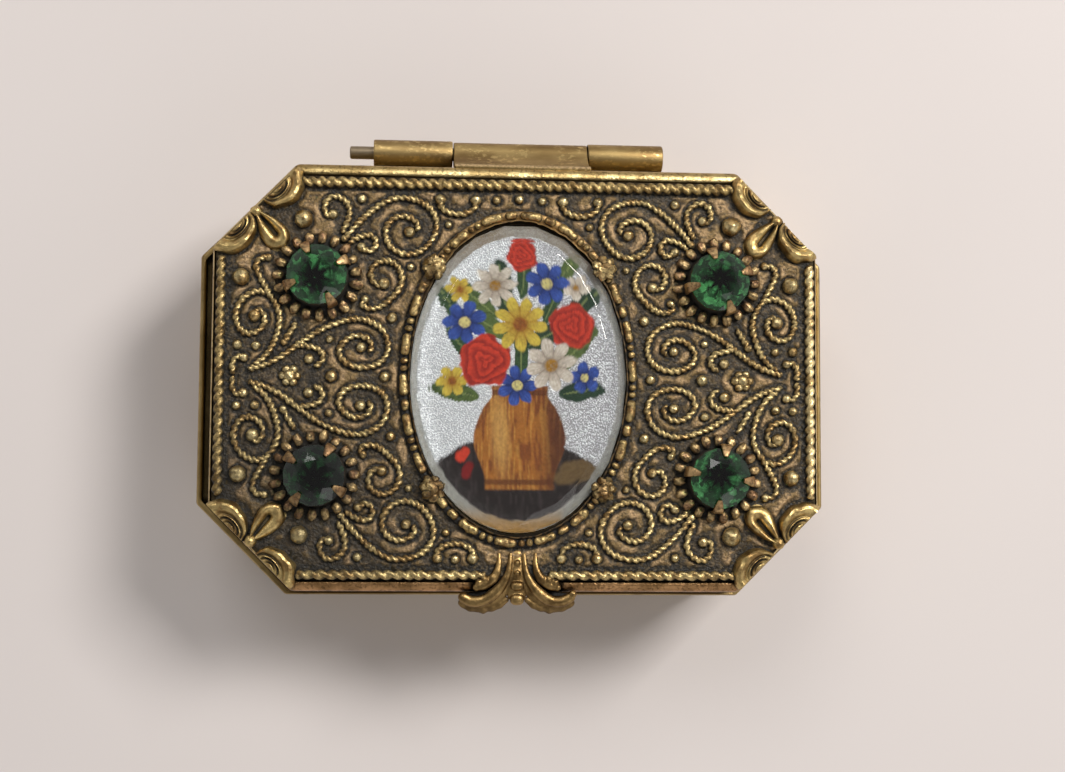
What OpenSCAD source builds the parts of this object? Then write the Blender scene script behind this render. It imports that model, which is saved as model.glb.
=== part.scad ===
// Small eight-sided trinket box with a hinged ornamental lid.
// Millimetres. X runs along the long side, Y towards the hinge, Z up.
// The origin is the centre of the underside.

/* [Base] */
// Half length of the pan's wall
pan_half_x = 25.7; // [25.6:0.1:25.9]
// Half depth of the pan's wall
pan_half_y = 17.6; // [17.5:0.1:17.7]
// How much of each corner is cut off
pan_corner = 6.9; // [6.6:0.1:7.2]
// Height of the base, which is where the lid parts from it
base_height = 10.5; // [9:0.5:14]
// Thickness of the base's sheet
pan_sheet = 0.6; // [0.5:0.1:0.8]
// How far the rim bead stands out from the pan at its ends
rim_reach_ends = 1.05; // [0.8:0.05:1.1]
// How far the rim bead stands out from the pan at the front and back
rim_reach_front = 0.45; // [0.4:0.05:0.6]
// Height of the rim bead
rim_height = 1; // [0.8:0.1:1.2]
// How far the foot stands out from the pan
foot_reach = 0.4; // [0.2:0.1:0.6]
// Height of the foot
foot_height = 0.9; // [0.6:0.1:1.5]

/* [Collar] */
// How far the collar rises above the parting line
collar_rise = 1.8; // [1:0.2:2.4]
// Thickness of the collar's sheet
collar_sheet = 0.4; // [0.3:0.05:0.5]
// Gap between the collar and the lid's wall
collar_gap = 0.35; // [0.3:0.05:0.4]
// Radius of the catch stud in the collar's front
stud_r = 0.8; // [0.6:0.1:1]

/* [Lid] */
// Half length of the lid
lid_half_x = 25.3; // [25.2:0.1:25.5]
// Half depth of the lid
lid_half_y = 17.6; // [17.5:0.1:17.7]
// How much of each corner is cut off
lid_corner = 6.8; // [6.6:0.1:7]
// Height of the lid's shell
lid_height = 4.15; // [3.6:0.05:5]
// Thickness of the lid's sheet
lid_sheet = 0.5; // [0.4:0.1:0.6]
// Gap between the lid and the base when shut
lid_gap = 0.05; // [0.03:0.01:0.1]

/* [Ornament] */
// Half length of the ornamental plate
plate_half_x = 24.95; // [24.8:0.05:25]
// Half depth of the ornamental plate
plate_half_y = 16.65; // [16.5:0.05:16.8]
// Thickness of the ornamental plate
plate_thick = 0.5; // [0.4:0.1:0.8]
// Width of the rope border
rope_width = 0.85; // [0.7:0.05:1]
// Height of the rope border
rope_height = 0.6; // [0.4:0.1:0.8]
// Width of the scrolled wire
wire_width = 0.42; // [0.3:0.02:0.5]
// Height of the scrolled wire
wire_height = 0.42; // [0.3:0.02:0.6]
// Points worked out along each stretch of a scroll
scroll_steps = 2; // [1:1:3]

/* [Picture] */
// Half width of the oval glass
glass_a = 8.95; // [8.8:0.05:9]
// Half height of the oval glass
glass_b = 12.8; // [12.6:0.05:12.85]
// Half width of the oval frame, to the middle of its bars
frame_a = 9.5; // [9.45:0.05:9.6]
// Half height of the oval frame, to the middle of its bars
frame_b = 13.6; // [13.5:0.05:13.65]
// Height of the glass above its seat
glass_height = 1.75; // [1.2:0.05:2.2]

/* [Stones] */
// Radius of a stone
stone_r = 2.5; // [2.4:0.05:2.6]
// Distance of the stones from the middle, along X
stone_x = 16.65; // [16.5:0.05:16.8]
// Distance of the stones from the middle, along Y
stone_y = 8.2; // [8.1:0.05:8.3]
// Height of the cup that holds a stone
cup_height = 1.55; // [1.3:0.05:1.8]
// Number of beads round a stone
collar_beads = 18; // [16:1:18]

/* [Hinge] */
// Distance of the hinge's axis behind the middle
hinge_y = 19.7; // [19.6:0.05:19.9]
// Radius of the knuckles on the base
knuckle_r = 1.15; // [1.1:0.05:1.25]
// Radius of the hinge pin
pin_r = 0.55; // [0.5:0.05:0.6]
// Radial clearance of the pin in the lid's knuckle
pin_clearance = 0.05; // [0.02:0.01:0.08]
// Left end of the pin, which sticks out
pin_left = -14.3; // [-14.5:0.1:-13]

/* [Hidden] */
$fn = 48;
cut_through = 1;

// How far the rim bead stands out from the pan's cut corners
rim_reach_corner = 0.6;

// Heights, from the underside up
lid_bottom = base_height + lid_gap;
lid_top = lid_bottom + lid_height;
ground = lid_top + plate_thick;
collar_top = base_height + collar_rise;
collar_foot = base_height - 1.6;
stud_z = base_height + 1.05;

// The collar's upper part, outside
collar_x = lid_half_x - lid_sheet - collar_gap;
collar_y = lid_half_y - lid_sheet - collar_gap;
collar_corner = corner_in(lid_corner, lid_sheet + collar_gap);

// Hinge
hinge_z = base_height;
leaf_drop = 5;
leaf_thick = 0.6;
lid_leaf_lift = 0.4;
lid_leaf_rise = 2.6;
knuckle_left = [-12.25, -5.5];
knuckle_middle = [-5.4, 6.1];
knuckle_right = [6.2, 12.7];
middle_knuckle_r = knuckle_r - 0.1;
pin_right = knuckle_right[1] - 0.15;

// Picture and glass
card_thick = 0.2;
print_thick = 0.1;
glass_seat = lid_top + card_thick + print_thick;
opening_margin = 0.1;
frame_bar = 0.6;
frame_height = 0.7;
oval_steps = 72;
glass_edge = 0.7;
glass_bevel = 1.3;
glass_facets = 32;
claw_x = 7.05;
claw_y = 9.15;
claw_r = 1;
claw_lift = 0.6;
claw_gap = 0.03;

// Stones and their settings
cup_r = stone_r + 0.25;
cup_floor = 0.15;
bead_ring_r = 3.15;
bead_flange = 0.15;
bead_r = 0.36;
seat_width = 0.15;
girdle_thick = 0.2;
crown_height = 0.75;
table_r = 1.5;
culet_r = 0.5;
culet_above_floor = 0.35;
claw_turns = [20, 105, 193, 290];
claw_width = 1;
claw_clear = 0.12;
claw_thick = 0.35;
claw_reach = 0.75;
claw_tip_width = 0.25;
claw_tip_length = 0.15;
claw_sheet = 0.2;
rivet_r = 0.6;
rivet_hole_r = rivet_r + 0.02;
rivet_head_r = 1.1;
rivet_head = 0.3;
rivet_upper_head = 0.2;
settings_at = [[-1, 1], [1, 1], [-1, -1], [1, -1]];

// Where the rope border ends, from the middle of each side
rope_end_long = 18;
rope_end_short = 9.8;
rope_end_thumb = 3.1;
// The rope's section, in parts of its width and height
rope_profile = [[0, 0], [0, 0.6], [0.3, 1], [0.7, 1], [1, 0.6], [1, 0]];

// One quarter of the scrolled wires, mirrored into the other three.
// Each starts at its inner end.
scroll_large = [
    [8.6, 12.1], [8.45, 12.7], [8.95, 13.2], [9.7, 13.4], [10.5, 13.15], [11.05, 12.4], [11.05, 11.5],
    [10.5, 10.65], [9.4, 10.2], [8.2, 10.5], [7.3, 11.4], [6.9, 12.5], [7.1, 13.6], [7.9, 14.45],
    [9.2, 14.9], [10.5, 14.85], [11.6, 14.3], [12.6, 13.5], [13.5, 12.6], [14.1, 11.9], [14.6, 11.15]
];
scroll_hooked = [
    [15.45, 13.45], [15.95, 13.4], [16.15, 13.9], [16.05, 14.45], [15.6, 14.9], [15, 14.9],
    [14.4, 14.5], [14.1, 13.9], [14.15, 13.2], [14.4, 12.5], [14.75, 11.85]
];
scroll_small = [
    [13.1, 10.75], [12.5, 10.4], [12, 10.7], [11.9, 11.3], [12.35, 11.75], [13.1, 11.65],
    [13.7, 11.35], [14.2, 10.95]
];
scroll_inner = [
    [11.2, 7.7], [11.85, 7.65], [12.25, 8.25], [12.2, 8.95], [11.75, 9.45], [11.05, 9.65],
    [10.35, 9.4], [9.85, 8.8], [9.7, 8], [9.95, 7.25], [10.5, 6.6], [11.1, 6.05], [11.75, 5.7],
    [12.45, 5.65], [12.95, 5.95], [12.85, 6.4]
];
scroll_side = [
    [12.45, 2], [12.15, 2.45], [12.35, 3], [12.95, 3.35], [13.75, 3.3], [14.45, 2.8], [14.8, 2.1],
    [14.5, 1.35], [13.8, 0.9], [12.9, 0.75], [12, 0.9], [11.2, 1.4], [10.8, 2.2], [10.85, 3.05],
    [11.25, 3.85], [11.95, 4.4], [12.95, 4.75], [14, 4.7], [15, 4.4], [16, 4], [17, 3.4], [18.2, 2.55],
    [19.4, 1.65], [20.7, 0.95], [22.2, 0.5]
];
scroll_hook = [
    [20.7, 9.75], [21.35, 9.65], [21.65, 9.2], [21.6, 8.7], [21.35, 8.1], [20.95, 7.4], [20.5, 6.6],
    [20, 5.9], [19.7, 5], [19.75, 4], [20, 3.1], [20.4, 2.2], [21, 1.4], [21.8, 0.85]
];
scroll_ring = [
    [21.8, 5.3], [21.3, 5.35], [20.95, 4.9], [20.95, 4.3], [21.3, 3.75], [21.9, 3.45], [22.5, 3.5],
    [23, 3.95], [23.25, 4.65], [23.2, 5.4], [22.85, 6.15], [22.2, 6.7], [21.4, 6.95], [20.6, 6.7]
];
scroll_short = [[18.3, 4.45], [18.65, 3.85], [19, 3.3], [19.3, 2.75]];
scroll_curl = [[16.85, 0.75], [16.3, 1.1], [16.1, 1.65], [16.5, 2.2], [17.3, 2.45], [18.1, 2.6]];
scroll_edge = [[22.55, 1.45], [23.1, 1.5], [23.45, 0.95], [23.4, 0]];
scroll_middle = [
    [3.65, 14.75], [3.75, 14.2], [4.3, 13.8], [5.1, 13.65], [5.95, 13.8], [6.5, 14.2], [6.6, 14.75]
];
scrolls = [
    scroll_large, scroll_hooked, scroll_small, scroll_inner, scroll_side, scroll_hook, scroll_ring,
    scroll_short, scroll_curl, scroll_edge, scroll_middle
];

// One quarter of the granules: x, y, radius
granules_quarter = [
    [9.15, 12.1, 0.42], [15.45, 13.45, 0.38], [13.1, 10.75, 0.36], [11.2, 7.75, 0.42],
    [12.75, 6.4, 0.34], [13, 2.4, 0.42], [20.7, 9.75, 0.32], [21.75, 4.9, 0.5], [14.5, 11.4, 0.3],
    [19.3, 2.75, 0.3], [17.25, 1.4, 0.42], [22.55, 1.45, 0.36], [3.65, 14.85, 0.42],
    [6.6, 14.85, 0.42], [17.85, 13, 0.7], [22.9, 8.1, 0.65], [13.1, 14.8, 0.36], [10.5, 4.9, 0.4],
    [9, 9.15, 0.3], [21.6, 2.45, 0.35], [23.1, 2.5, 0.37], [15.6, 3.05, 0.32], [5.9, 12.75, 0.3]
];
// Granules on the long middle line: x, radius
granules_middle = [[11.05, 0.4], [15.4, 0.45]];
// Granules at the back only, where the front has the thumb-piece: x, y, radius
granules_back = [[-1.9, 14.9, 0.36], [0, 15, 0.36], [1.9, 14.9, 0.36]];
rosette_x = 18.8;
rosette_r = 0.42;
rosette_spread = 0.52;
rosette_heart = 1.2;
rosette_petal = 0.8;

// One quarter of the corner shells and the leaf between them
shell_back = [
    [18.5, 17.15], [18.05, 16.6], [18.05, 15.6], [18.4, 14.7], [19.1, 14.1], [20, 13.85], [21, 13.95],
    [21.45, 14.35]
];
shell_side = [
    [22.35, 13.45], [22.1, 12.7], [22.1, 11.6], [22.45, 10.7], [23.1, 10.15], [23.9, 9.95],
    [24.75, 10.3], [25, 10.9]
];
leaf_outline = [
    [21.3, 13.2], [20.2, 12.9], [19.4, 12.1], [19.2, 11.3], [19.5, 10.7], [20.1, 10.6], [20.9, 11],
    [21.6, 11.9], [21.8, 12.8]
];
leaf_slot = [[21.2, 12.8], [20.3, 12.1], [19.9, 11.4], [20.2, 11.3], [20.8, 11.9], [21.4, 12.6]];
shell_height = 0.95;
shell_edge = 0.3;
shell_slope = 0.55;
leaf_height = 0.6;
leaf_floor = 0.2;
corner_bead = [21.75, 13.55];
corner_bead_r = 0.42;
corner_bead_height = 0.7;

// The thumb-piece and its petals: balls of x, y, z above the ground, radius
thumb_stem = [[0.35, -14.45, 0.2, 0.4], [0.4, -16.2, 0.3, 0.45]];
thumb_flare = [
    [0.4, -16.2, 0.3, 0.45], [0.75, -17.1, 0.3, 0.6], [1.5, -18, 0.1, 0.75], [2.7, -18.6, -0.2, 0.85],
    [3.9, -18.65, -0.3, 0.8], [4.5, -18.4, -0.2, 0.6]
];
thumb_beads = [[0, -17.35, 0.5, 0.55], [0, -18.35, 0.2, 0.6]];
thumb_petal = [[1.75, -14.8, 0.1, 0.3], [2, -16, 0.15, 0.35], [2.6, -17, 0.1, 0.45], [3.2, -17.2, 0, 0.4]];
thumb_room = 6;

// ---- Shapes that repeat ----

// The corner cut of an outline that is set in all round by t, or out where t is negative
function corner_in(c, t) = c - t * (2 - sqrt(2));

function octagon(hx, hy, c) = [
    [hx, hy - c], [hx - c, hy], [c - hx, hy], [-hx, hy - c],
    [-hx, c - hy], [c - hx, -hy], [hx - c, -hy], [hx, c - hy]
];

function oval(a, b, n) = [for (i = [0:n - 1]) [a * cos(i * 360 / n), b * sin(i * 360 / n)]];

// A point between b and c of a smooth curve through a, b, c and d
function between(a, b, c, d, t) =
    0.5 * (2 * b + (c - a) * t + (2 * a - 5 * b + 4 * c - d) * t * t + (3 * b - 3 * c + d - a) * t * t * t);

function smooth(p, steps) = [
    for (i = [0:len(p) - 2]) for (j = [0:steps - 1])
        between(p[max(i - 1, 0)], p[i], p[i + 1], p[min(i + 2, len(p) - 1)], j / steps),
    p[len(p) - 1]
];

function side_of(p, i) = let (d = p[min(i + 1, len(p) - 1)] - p[max(i - 1, 0)]) [-d[1], d[0]] / norm(d);

module prism(points, low, high) {
    translate([0, 0, low]) linear_extrude(high - low) polygon(points);
}

// A low ridge along a path, flat below
module ridge(path, width, height) {
    profile = [[-0.5 * width, 0], [-0.3 * width, height], [0.3 * width, height], [0.5 * width, 0]];
    n = len(path);
    points = [
        for (i = [0:n - 1]) let (s = side_of(path, i)) for (q = profile)
            [path[i][0] + s[0] * q[0], path[i][1] + s[1] * q[0], q[1]]
    ];
    flanks = [
        for (i = [0:n - 2]) for (k = [0:3]) let (a = 4 * i + k, b = 4 * i + (k + 1) % 4)
            each [[a, b + 4, a + 4], [a, b, b + 4]]
    ];
    last = 4 * (n - 1);
    ends = [[0, 2, 1], [0, 3, 2], [last, last + 1, last + 2], [last, last + 2, last + 3]];
    polyhedron(points, concat(flanks, ends));
}

// The rounded outer end of a wire
module wire_end(at) {
    translate([at[0], at[1], 0]) hull() {
        cylinder(h = 0.02, r = wire_width / 2, $fn = 8);
        cylinder(h = wire_height, r = 0.3 * wire_width, $fn = 8);
    }
}

module four_quarters() {
    for (sx = [0, 1], sy = [0, 1]) mirror([sx, 0, 0]) mirror([0, sy, 0]) children();
}

// A tube or rod along X
module along_x(from, to, r) {
    translate([from, hinge_y, hinge_z]) rotate([0, 90, 0]) cylinder(h = to - from, r = r);
}

// A sheet profile, drawn in Y and Z, run along X
module leaf_along_x(span, profile) {
    translate([span[0], 0, 0]) rotate([90, 0, 90]) linear_extrude(span[1] - span[0]) polygon(profile);
}

// ---- Base ----

// The pan's outline, set in by t or out where t is negative
function pan_outline(t) = octagon(pan_half_x - t, pan_half_y - t, corner_in(pan_corner, t));

module base_pan() {
    color("darkgoldenrod") difference() {
        union() {
            prism(pan_outline(0), 0, base_height);
            prism(pan_outline(-foot_reach), 0, foot_height);
        }
        prism(pan_outline(pan_sheet), pan_sheet, base_height + cut_through);
    }
}

module rim_bead() {
    corner = pan_corner + rim_reach_ends + rim_reach_front - rim_reach_corner * sqrt(2);
    outline = octagon(pan_half_x + rim_reach_ends, pan_half_y + rim_reach_front, corner);
    color("goldenrod") difference() {
        prism(outline, base_height - rim_height, base_height);
        prism(pan_outline(0), 0, base_height + cut_through);
    }
}

// The collar's outline, set in by t
function collar_outline(t) = octagon(collar_x - t, collar_y - t, corner_in(collar_corner, t));

module inner_collar() {
    color("gold") difference() {
        union() {
            prism(pan_outline(pan_sheet), collar_foot, base_height);
            prism(collar_outline(0), collar_foot, collar_top);
        }
        prism(collar_outline(collar_sheet), collar_foot - cut_through, collar_top + cut_through);
        translate([0, 0, stud_z]) rotate([90, 0, 0]) cylinder(h = pan_half_y, r = stud_r);
    }
}

// The stud stands out of the collar by 0.6 of the gap to the lid
module catch_stud() {
    color("gold") translate([0, collar_sheet - collar_y, stud_z]) rotate([90, 0, 0])
        cylinder(h = collar_sheet + 0.6 * collar_gap, r = stud_r);
}

module base_knuckle(span) {
    wall = pan_half_y;
    low = base_height - leaf_drop;
    high = base_height - rim_height;
    profile = [
        [wall, low], [wall + leaf_thick, low], [wall + leaf_thick, high - 1],
        [hinge_y - 0.2, hinge_z - knuckle_r + 0.05], [hinge_y - 0.7, hinge_z - leaf_thick],
        [wall + 1.1, high], [wall, high]
    ];
    difference() {
        union() {
            along_x(span[0], span[1], knuckle_r);
            leaf_along_x(span, profile);
        }
        along_x(span[0] - cut_through, span[1] + cut_through, pin_r);
    }
}

module hinge_knuckle_left() {
    color("peru") base_knuckle(knuckle_left);
}

module hinge_knuckle_right() {
    color("peru") base_knuckle(knuckle_right);
}

module hinge_pin() {
    color("silver") along_x(pin_left, pin_right, pin_r);
}

// ---- Lid ----

module lid_shell() {
    color("goldenrod") difference() {
        prism(octagon(lid_half_x, lid_half_y, lid_corner), lid_bottom, lid_top);
        prism(octagon(lid_half_x - lid_sheet, lid_half_y - lid_sheet, corner_in(lid_corner, lid_sheet)),
            lid_bottom - cut_through, lid_top - lid_sheet);
        rivet_holes();
    }
}

module rivet_holes() {
    for (s = settings_at) translate([s[0] * stone_x, s[1] * stone_y, lid_bottom])
        cylinder(h = lid_height + plate_thick + cut_through, r = rivet_hole_r);
}

module hinge_knuckle_middle() {
    wall = lid_half_y;
    low = lid_bottom + lid_leaf_lift;
    profile = [
        [wall, low], [wall + 1.1, low], [hinge_y - 0.3, hinge_z + 0.75], [hinge_y + 0.45, hinge_z + 0.9],
        [wall + 1.5, lid_bottom + 1.6], [wall + 0.9, lid_bottom + lid_leaf_rise],
        [wall + leaf_thick, lid_top - 0.3], [wall, lid_top - 0.1]
    ];
    color("peru") difference() {
        union() {
            along_x(knuckle_middle[0], knuckle_middle[1], middle_knuckle_r);
            leaf_along_x(knuckle_middle, profile);
        }
        along_x(knuckle_middle[0] - cut_through, knuckle_middle[1] + cut_through, pin_r + pin_clearance);
    }
}

module filigree_plate() {
    corner_edge = 0.35;
    corner = plate_half_x + plate_half_y - (lid_half_x + lid_half_y - lid_corner) + corner_edge;
    color("darkslategray") difference() {
        prism(octagon(plate_half_x, plate_half_y, corner), lid_top, ground);
        prism(oval(glass_a + opening_margin, glass_b + opening_margin, oval_steps), lid_top - cut_through,
            ground + cut_through);
        rivet_holes();
    }
}

// The front rope leaves room for the thumb-piece
module rope_border() {
    section = [for (p = rope_profile) [p[0] * rope_width, p[1] * rope_height]];
    color("goldenrod") translate([0, 0, ground]) {
        for (s = [0, 1]) mirror([s, 0, 0])
            translate([plate_half_x - rope_width, rope_end_short, 0]) rotate([90, 0, 0])
                linear_extrude(2 * rope_end_short) polygon(section);
        translate([-rope_end_long, plate_half_y - rope_width, 0]) rotate([90, 0, 90])
            linear_extrude(2 * rope_end_long) polygon(section);
        for (s = [0, 1]) mirror([s, 0, 0])
            translate([rope_end_thumb, -plate_half_y, 0]) rotate([90, 0, 90])
                linear_extrude(rope_end_long - rope_end_thumb) polygon(section);
    }
}

module scroll_wires() {
    color("goldenrod") translate([0, 0, ground]) four_quarters() union() {
        for (p = scrolls) {
            ridge(smooth(p, scroll_steps), wire_width, wire_height);
            wire_end(p[len(p) - 1]);
        }
    }
}

module granule(x, y, r) {
    translate([x, y, ground]) sphere(r = r);
}

module granules() {
    color("gold") intersection() {
        union() {
            four_quarters() for (g = granules_quarter) granule(g[0], g[1], g[2]);
            for (g = granules_back) granule(g[0], g[1], g[2]);
            for (s = [-1, 1]) {
                for (g = granules_middle) granule(s * g[0], 0, g[1]);
                granule(s * rosette_x, 0, rosette_r * rosette_heart);
                for (turn = [0:60:300]) {
                    at = rosette_spread * [cos(turn), sin(turn)];
                    granule(s * rosette_x + at[0], at[1], rosette_r * rosette_petal);
                }
            }
        }
        translate([-plate_half_x, -plate_half_y, ground]) cube([2 * plate_half_x, 2 * plate_half_y, 2]);
    }
}

module corner_lobe(outline) {
    hull() {
        linear_extrude(shell_edge) polygon(outline);
        linear_extrude(shell_height) offset(-shell_slope) polygon(outline);
    }
}

module corner_shells() {
    color("goldenrod") translate([0, 0, ground]) four_quarters() union() {
        corner_lobe(shell_back);
        corner_lobe(shell_side);
        difference() {
            linear_extrude(leaf_height) polygon(leaf_outline);
            translate([0, 0, leaf_floor]) linear_extrude(leaf_height) polygon(leaf_slot);
        }
        translate(corner_bead) cylinder(h = corner_bead_height, r = corner_bead_r, $fn = 12);
    }
}

module oval_frame() {
    inner = [frame_a - frame_bar / 2, frame_b - frame_bar / 2];
    outer = [frame_a + frame_bar / 2, frame_b + frame_bar / 2];
    top = ground + frame_height;
    color("goldenrod") difference() {
        prism(oval(outer[0], outer[1], oval_steps), ground, top);
        prism(oval(inner[0], inner[1], oval_steps), ground - cut_through, top + cut_through);
    }
}

// ---- Picture, glass and stones ----

module pearl_card() {
    color("whitesmoke") prism(oval(glass_a, glass_b, oval_steps), lid_top, lid_top + card_thick);
}

module picture_print() {
    color("lightgray") prism(oval(glass_a, glass_b, oval_steps), lid_top + card_thick, glass_seat);
}

// The glass, or the room for it where grow is more than 0
module glass_solid(grow) {
    a = glass_a + grow;
    b = glass_b + grow;
    low = glass_seat;
    hull() {
        prism(oval(a, b, glass_facets), low, low + glass_edge + grow);
        prism(oval(a - glass_bevel, b - glass_bevel, glass_facets), low, low + glass_height + grow);
    }
}

module glass_oval() {
    color([0.85, 0.9, 0.9, 0.4]) glass_solid(0);
}

module frame_claws() {
    color("goldenrod") difference() {
        four_quarters() translate([claw_x, claw_y, ground + claw_lift]) sphere(r = claw_r, $fn = 24);
        glass_solid(claw_gap);
        prism(octagon(plate_half_x, plate_half_y, lid_corner), lid_bottom, ground);
        oval_frame();
    }
}

module setting(at, turn) {
    top = cup_height;
    color("sienna") translate([at[0] * stone_x, at[1] * stone_y, ground]) rotate([0, 0, turn]) difference() {
        union() {
            cylinder(h = top, r = cup_r);
            cylinder(h = bead_flange, r = bead_ring_r + 0.1);
            intersection() {
                for (i = [1:collar_beads]) rotate([0, 0, i * 360 / collar_beads])
                    translate([bead_ring_r, 0, 0.1]) sphere(r = bead_r);
                translate([-2 * cup_r, -2 * cup_r, 0]) cube([4 * cup_r, 4 * cup_r, top]);
            }
            for (a = claw_turns) rotate([0, 0, a]) claw();
        }
        translate([0, 0, cup_floor]) cylinder(h = top, r = stone_r - seat_width);
        translate([0, 0, -cut_through]) cylinder(h = 2 * cut_through, r = rivet_hole_r);
    }
}

// One claw, bent over the stone's crown without touching it
module claw() {
    inner = stone_r + claw_clear;
    outer = inner + claw_thick;
    root = cup_r - 0.05;
    girdle_top = cup_height + girdle_thick;
    rise = crown_height * claw_reach / (stone_r - table_r);
    translate([root, -claw_width / 2, bead_flange])
        cube([outer - root, claw_width, girdle_top + claw_sheet - bead_flange]);
    hull() {
        translate([inner, -claw_width / 2, girdle_top]) cube([claw_thick, claw_width, claw_sheet]);
        translate([inner - claw_reach, -claw_tip_width / 2, girdle_top + rise])
            cube([claw_tip_length, claw_tip_width, claw_sheet]);
    }
}

module setting_back_left() {
    setting(settings_at[0], 8);
}

module setting_back_right() {
    setting(settings_at[1], 0);
}

module setting_front_left() {
    setting(settings_at[2], 40);
}

module setting_front_right() {
    setting(settings_at[3], -25);
}

module stone(at, turn) {
    culet = cup_floor + culet_above_floor;
    color("darkgreen") translate([at[0] * stone_x, at[1] * stone_y, ground]) rotate([0, 0, turn]) union() {
        translate([0, 0, culet]) cylinder(h = cup_height - culet, r1 = culet_r, r2 = stone_r - 0.2, $fn = 12);
        translate([0, 0, cup_height]) cylinder(h = girdle_thick, r = stone_r, $fn = 12);
        translate([0, 0, cup_height + girdle_thick])
            cylinder(h = crown_height, r1 = stone_r, r2 = table_r, $fn = 12);
    }
}

module stone_back_left() {
    stone(settings_at[0], 5);
}

module stone_back_right() {
    stone(settings_at[1], 0);
}

module stone_front_left() {
    stone(settings_at[2], 12);
}

module stone_front_right() {
    stone(settings_at[3], 20);
}

module setting_rivets() {
    low = lid_top - lid_sheet - rivet_head;
    seat = ground + cup_floor;
    color("peru") for (s = settings_at) translate([s[0] * stone_x, s[1] * stone_y, 0]) union() {
        translate([0, 0, low]) cylinder(h = rivet_head, r = rivet_head_r);
        translate([0, 0, low]) cylinder(h = seat - low, r = rivet_r);
        translate([0, 0, seat]) cylinder(h = rivet_upper_head, r = rivet_head_r - 0.1);
    }
}

// ---- Thumb-piece ----

// A rounded bar through a list of balls
module rounded_bar(balls) {
    for (i = [0:len(balls) - 2]) hull() for (b = [balls[i], balls[i + 1]])
        translate([b[0], b[1], b[2]]) sphere(r = b[3], $fn = 12);
}

module thumb_piece() {
    color("goldenrod") difference() {
        translate([0, 0, ground]) union() {
            for (s = [0, 1]) mirror([s, 0, 0]) {
                rounded_bar(thumb_stem);
                rounded_bar(thumb_flare);
            }
            for (b = thumb_beads) translate([b[0], b[1], b[2]]) sphere(r = b[3], $fn = 12);
        }
        lid_front();
    }
}

// The two petals beside the thumb-piece
module front_petals() {
    color("goldenrod") difference() {
        translate([0, 0, ground]) for (s = [0, 1]) mirror([s, 0, 0]) rounded_bar(thumb_petal);
        lid_front();
    }
}

// The room that the plate and the shell take at the front
module lid_front() {
    translate([-thumb_room, -plate_half_y, lid_bottom])
        cube([2 * thumb_room, plate_half_y, ground - lid_bottom]);
    translate([-thumb_room, -lid_half_y, lid_bottom])
        cube([2 * thumb_room, lid_half_y, lid_top - lid_bottom]);
}

base_pan();
rim_bead();
inner_collar();
catch_stud();
hinge_knuckle_left();
hinge_knuckle_right();
hinge_pin();
lid_shell();
hinge_knuckle_middle();
filigree_plate();
rope_border();
scroll_wires();
granules();
corner_shells();
oval_frame();
frame_claws();
pearl_card();
picture_print();
glass_oval();
thumb_piece();
front_petals();
setting_back_left();
setting_back_right();
setting_front_left();
setting_front_right();
stone_back_left();
stone_back_right();
stone_front_left();
stone_front_right();
setting_rivets();
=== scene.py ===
"""A small eight-sided trinket box with a hinged ornamental lid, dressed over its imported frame.

Lengths are millimetres until a mesh is made. X runs along the long side, Y towards the hinge, Z up.
"""

import math

import bmesh
import bpy
import numpy as np
from mathutils import Matrix, Vector, kdtree


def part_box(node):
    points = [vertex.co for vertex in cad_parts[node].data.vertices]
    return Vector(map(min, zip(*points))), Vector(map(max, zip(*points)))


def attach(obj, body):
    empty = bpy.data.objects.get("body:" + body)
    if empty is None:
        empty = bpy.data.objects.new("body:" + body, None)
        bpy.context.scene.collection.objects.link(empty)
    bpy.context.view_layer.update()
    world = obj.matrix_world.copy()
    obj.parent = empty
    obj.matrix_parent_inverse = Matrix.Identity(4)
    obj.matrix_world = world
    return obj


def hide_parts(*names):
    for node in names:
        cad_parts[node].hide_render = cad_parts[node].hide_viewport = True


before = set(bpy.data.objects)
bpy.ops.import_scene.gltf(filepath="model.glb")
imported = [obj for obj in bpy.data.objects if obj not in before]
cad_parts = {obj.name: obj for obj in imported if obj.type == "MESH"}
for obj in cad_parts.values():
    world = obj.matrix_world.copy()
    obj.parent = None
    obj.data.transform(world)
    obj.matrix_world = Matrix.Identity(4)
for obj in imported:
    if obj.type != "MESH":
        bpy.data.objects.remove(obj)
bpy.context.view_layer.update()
MM = 0.001


def box_mm(node):
    low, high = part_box(node)
    return low / MM, high / MM


# ---- Sizes, taken from the frame where it has them ----
PAN_CORNER = 6.9
LID_CORNER = 6.8
FOOT_REACH = 0.4
PAN_SHEET = 0.6
LID_SHEET = 0.5
PAN_HIGH = box_mm("base_pan")[1]
BASE_TOP = PAN_HIGH.z
PAN = (PAN_HIGH.x - FOOT_REACH, PAN_HIGH.y - FOOT_REACH, PAN_CORNER)
RIM_LOW, RIM_HIGH = box_mm("rim_bead")
RIM_REACH = (RIM_HIGH.x - PAN[0], RIM_HIGH.y - PAN[1], 0.6)
RIM_BOTTOM = RIM_LOW.z
LID_LOW, LID_HIGH = box_mm("lid_shell")
LID = (LID_HIGH.x, LID_HIGH.y, LID_CORNER)
LID_BOTTOM, LID_TOP = LID_LOW.z, LID_HIGH.z
PLATE_X, PLATE_Y, GROUND = box_mm("filigree_plate")[1]
CHAMFER_SUM = LID[0] + LID[1] - LID_CORNER
COLLAR_INSET = 0.85
COLLAR = (LID[0] - COLLAR_INSET, LID[1] - COLLAR_INSET, LID_CORNER - COLLAR_INSET * (2 - math.sqrt(2)))
COLLAR_SHEET = 0.4
COLLAR_FOOT, COLLAR_TOP = (corner.z for corner in box_mm("inner_collar"))
GLASS_A, GLASS_B, GLASS_TOP = box_mm("glass_oval")[1]
GLASS_SEAT = box_mm("glass_oval")[0].z
FRAME_A = 9.5
FRAME_B = 13.6
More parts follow.
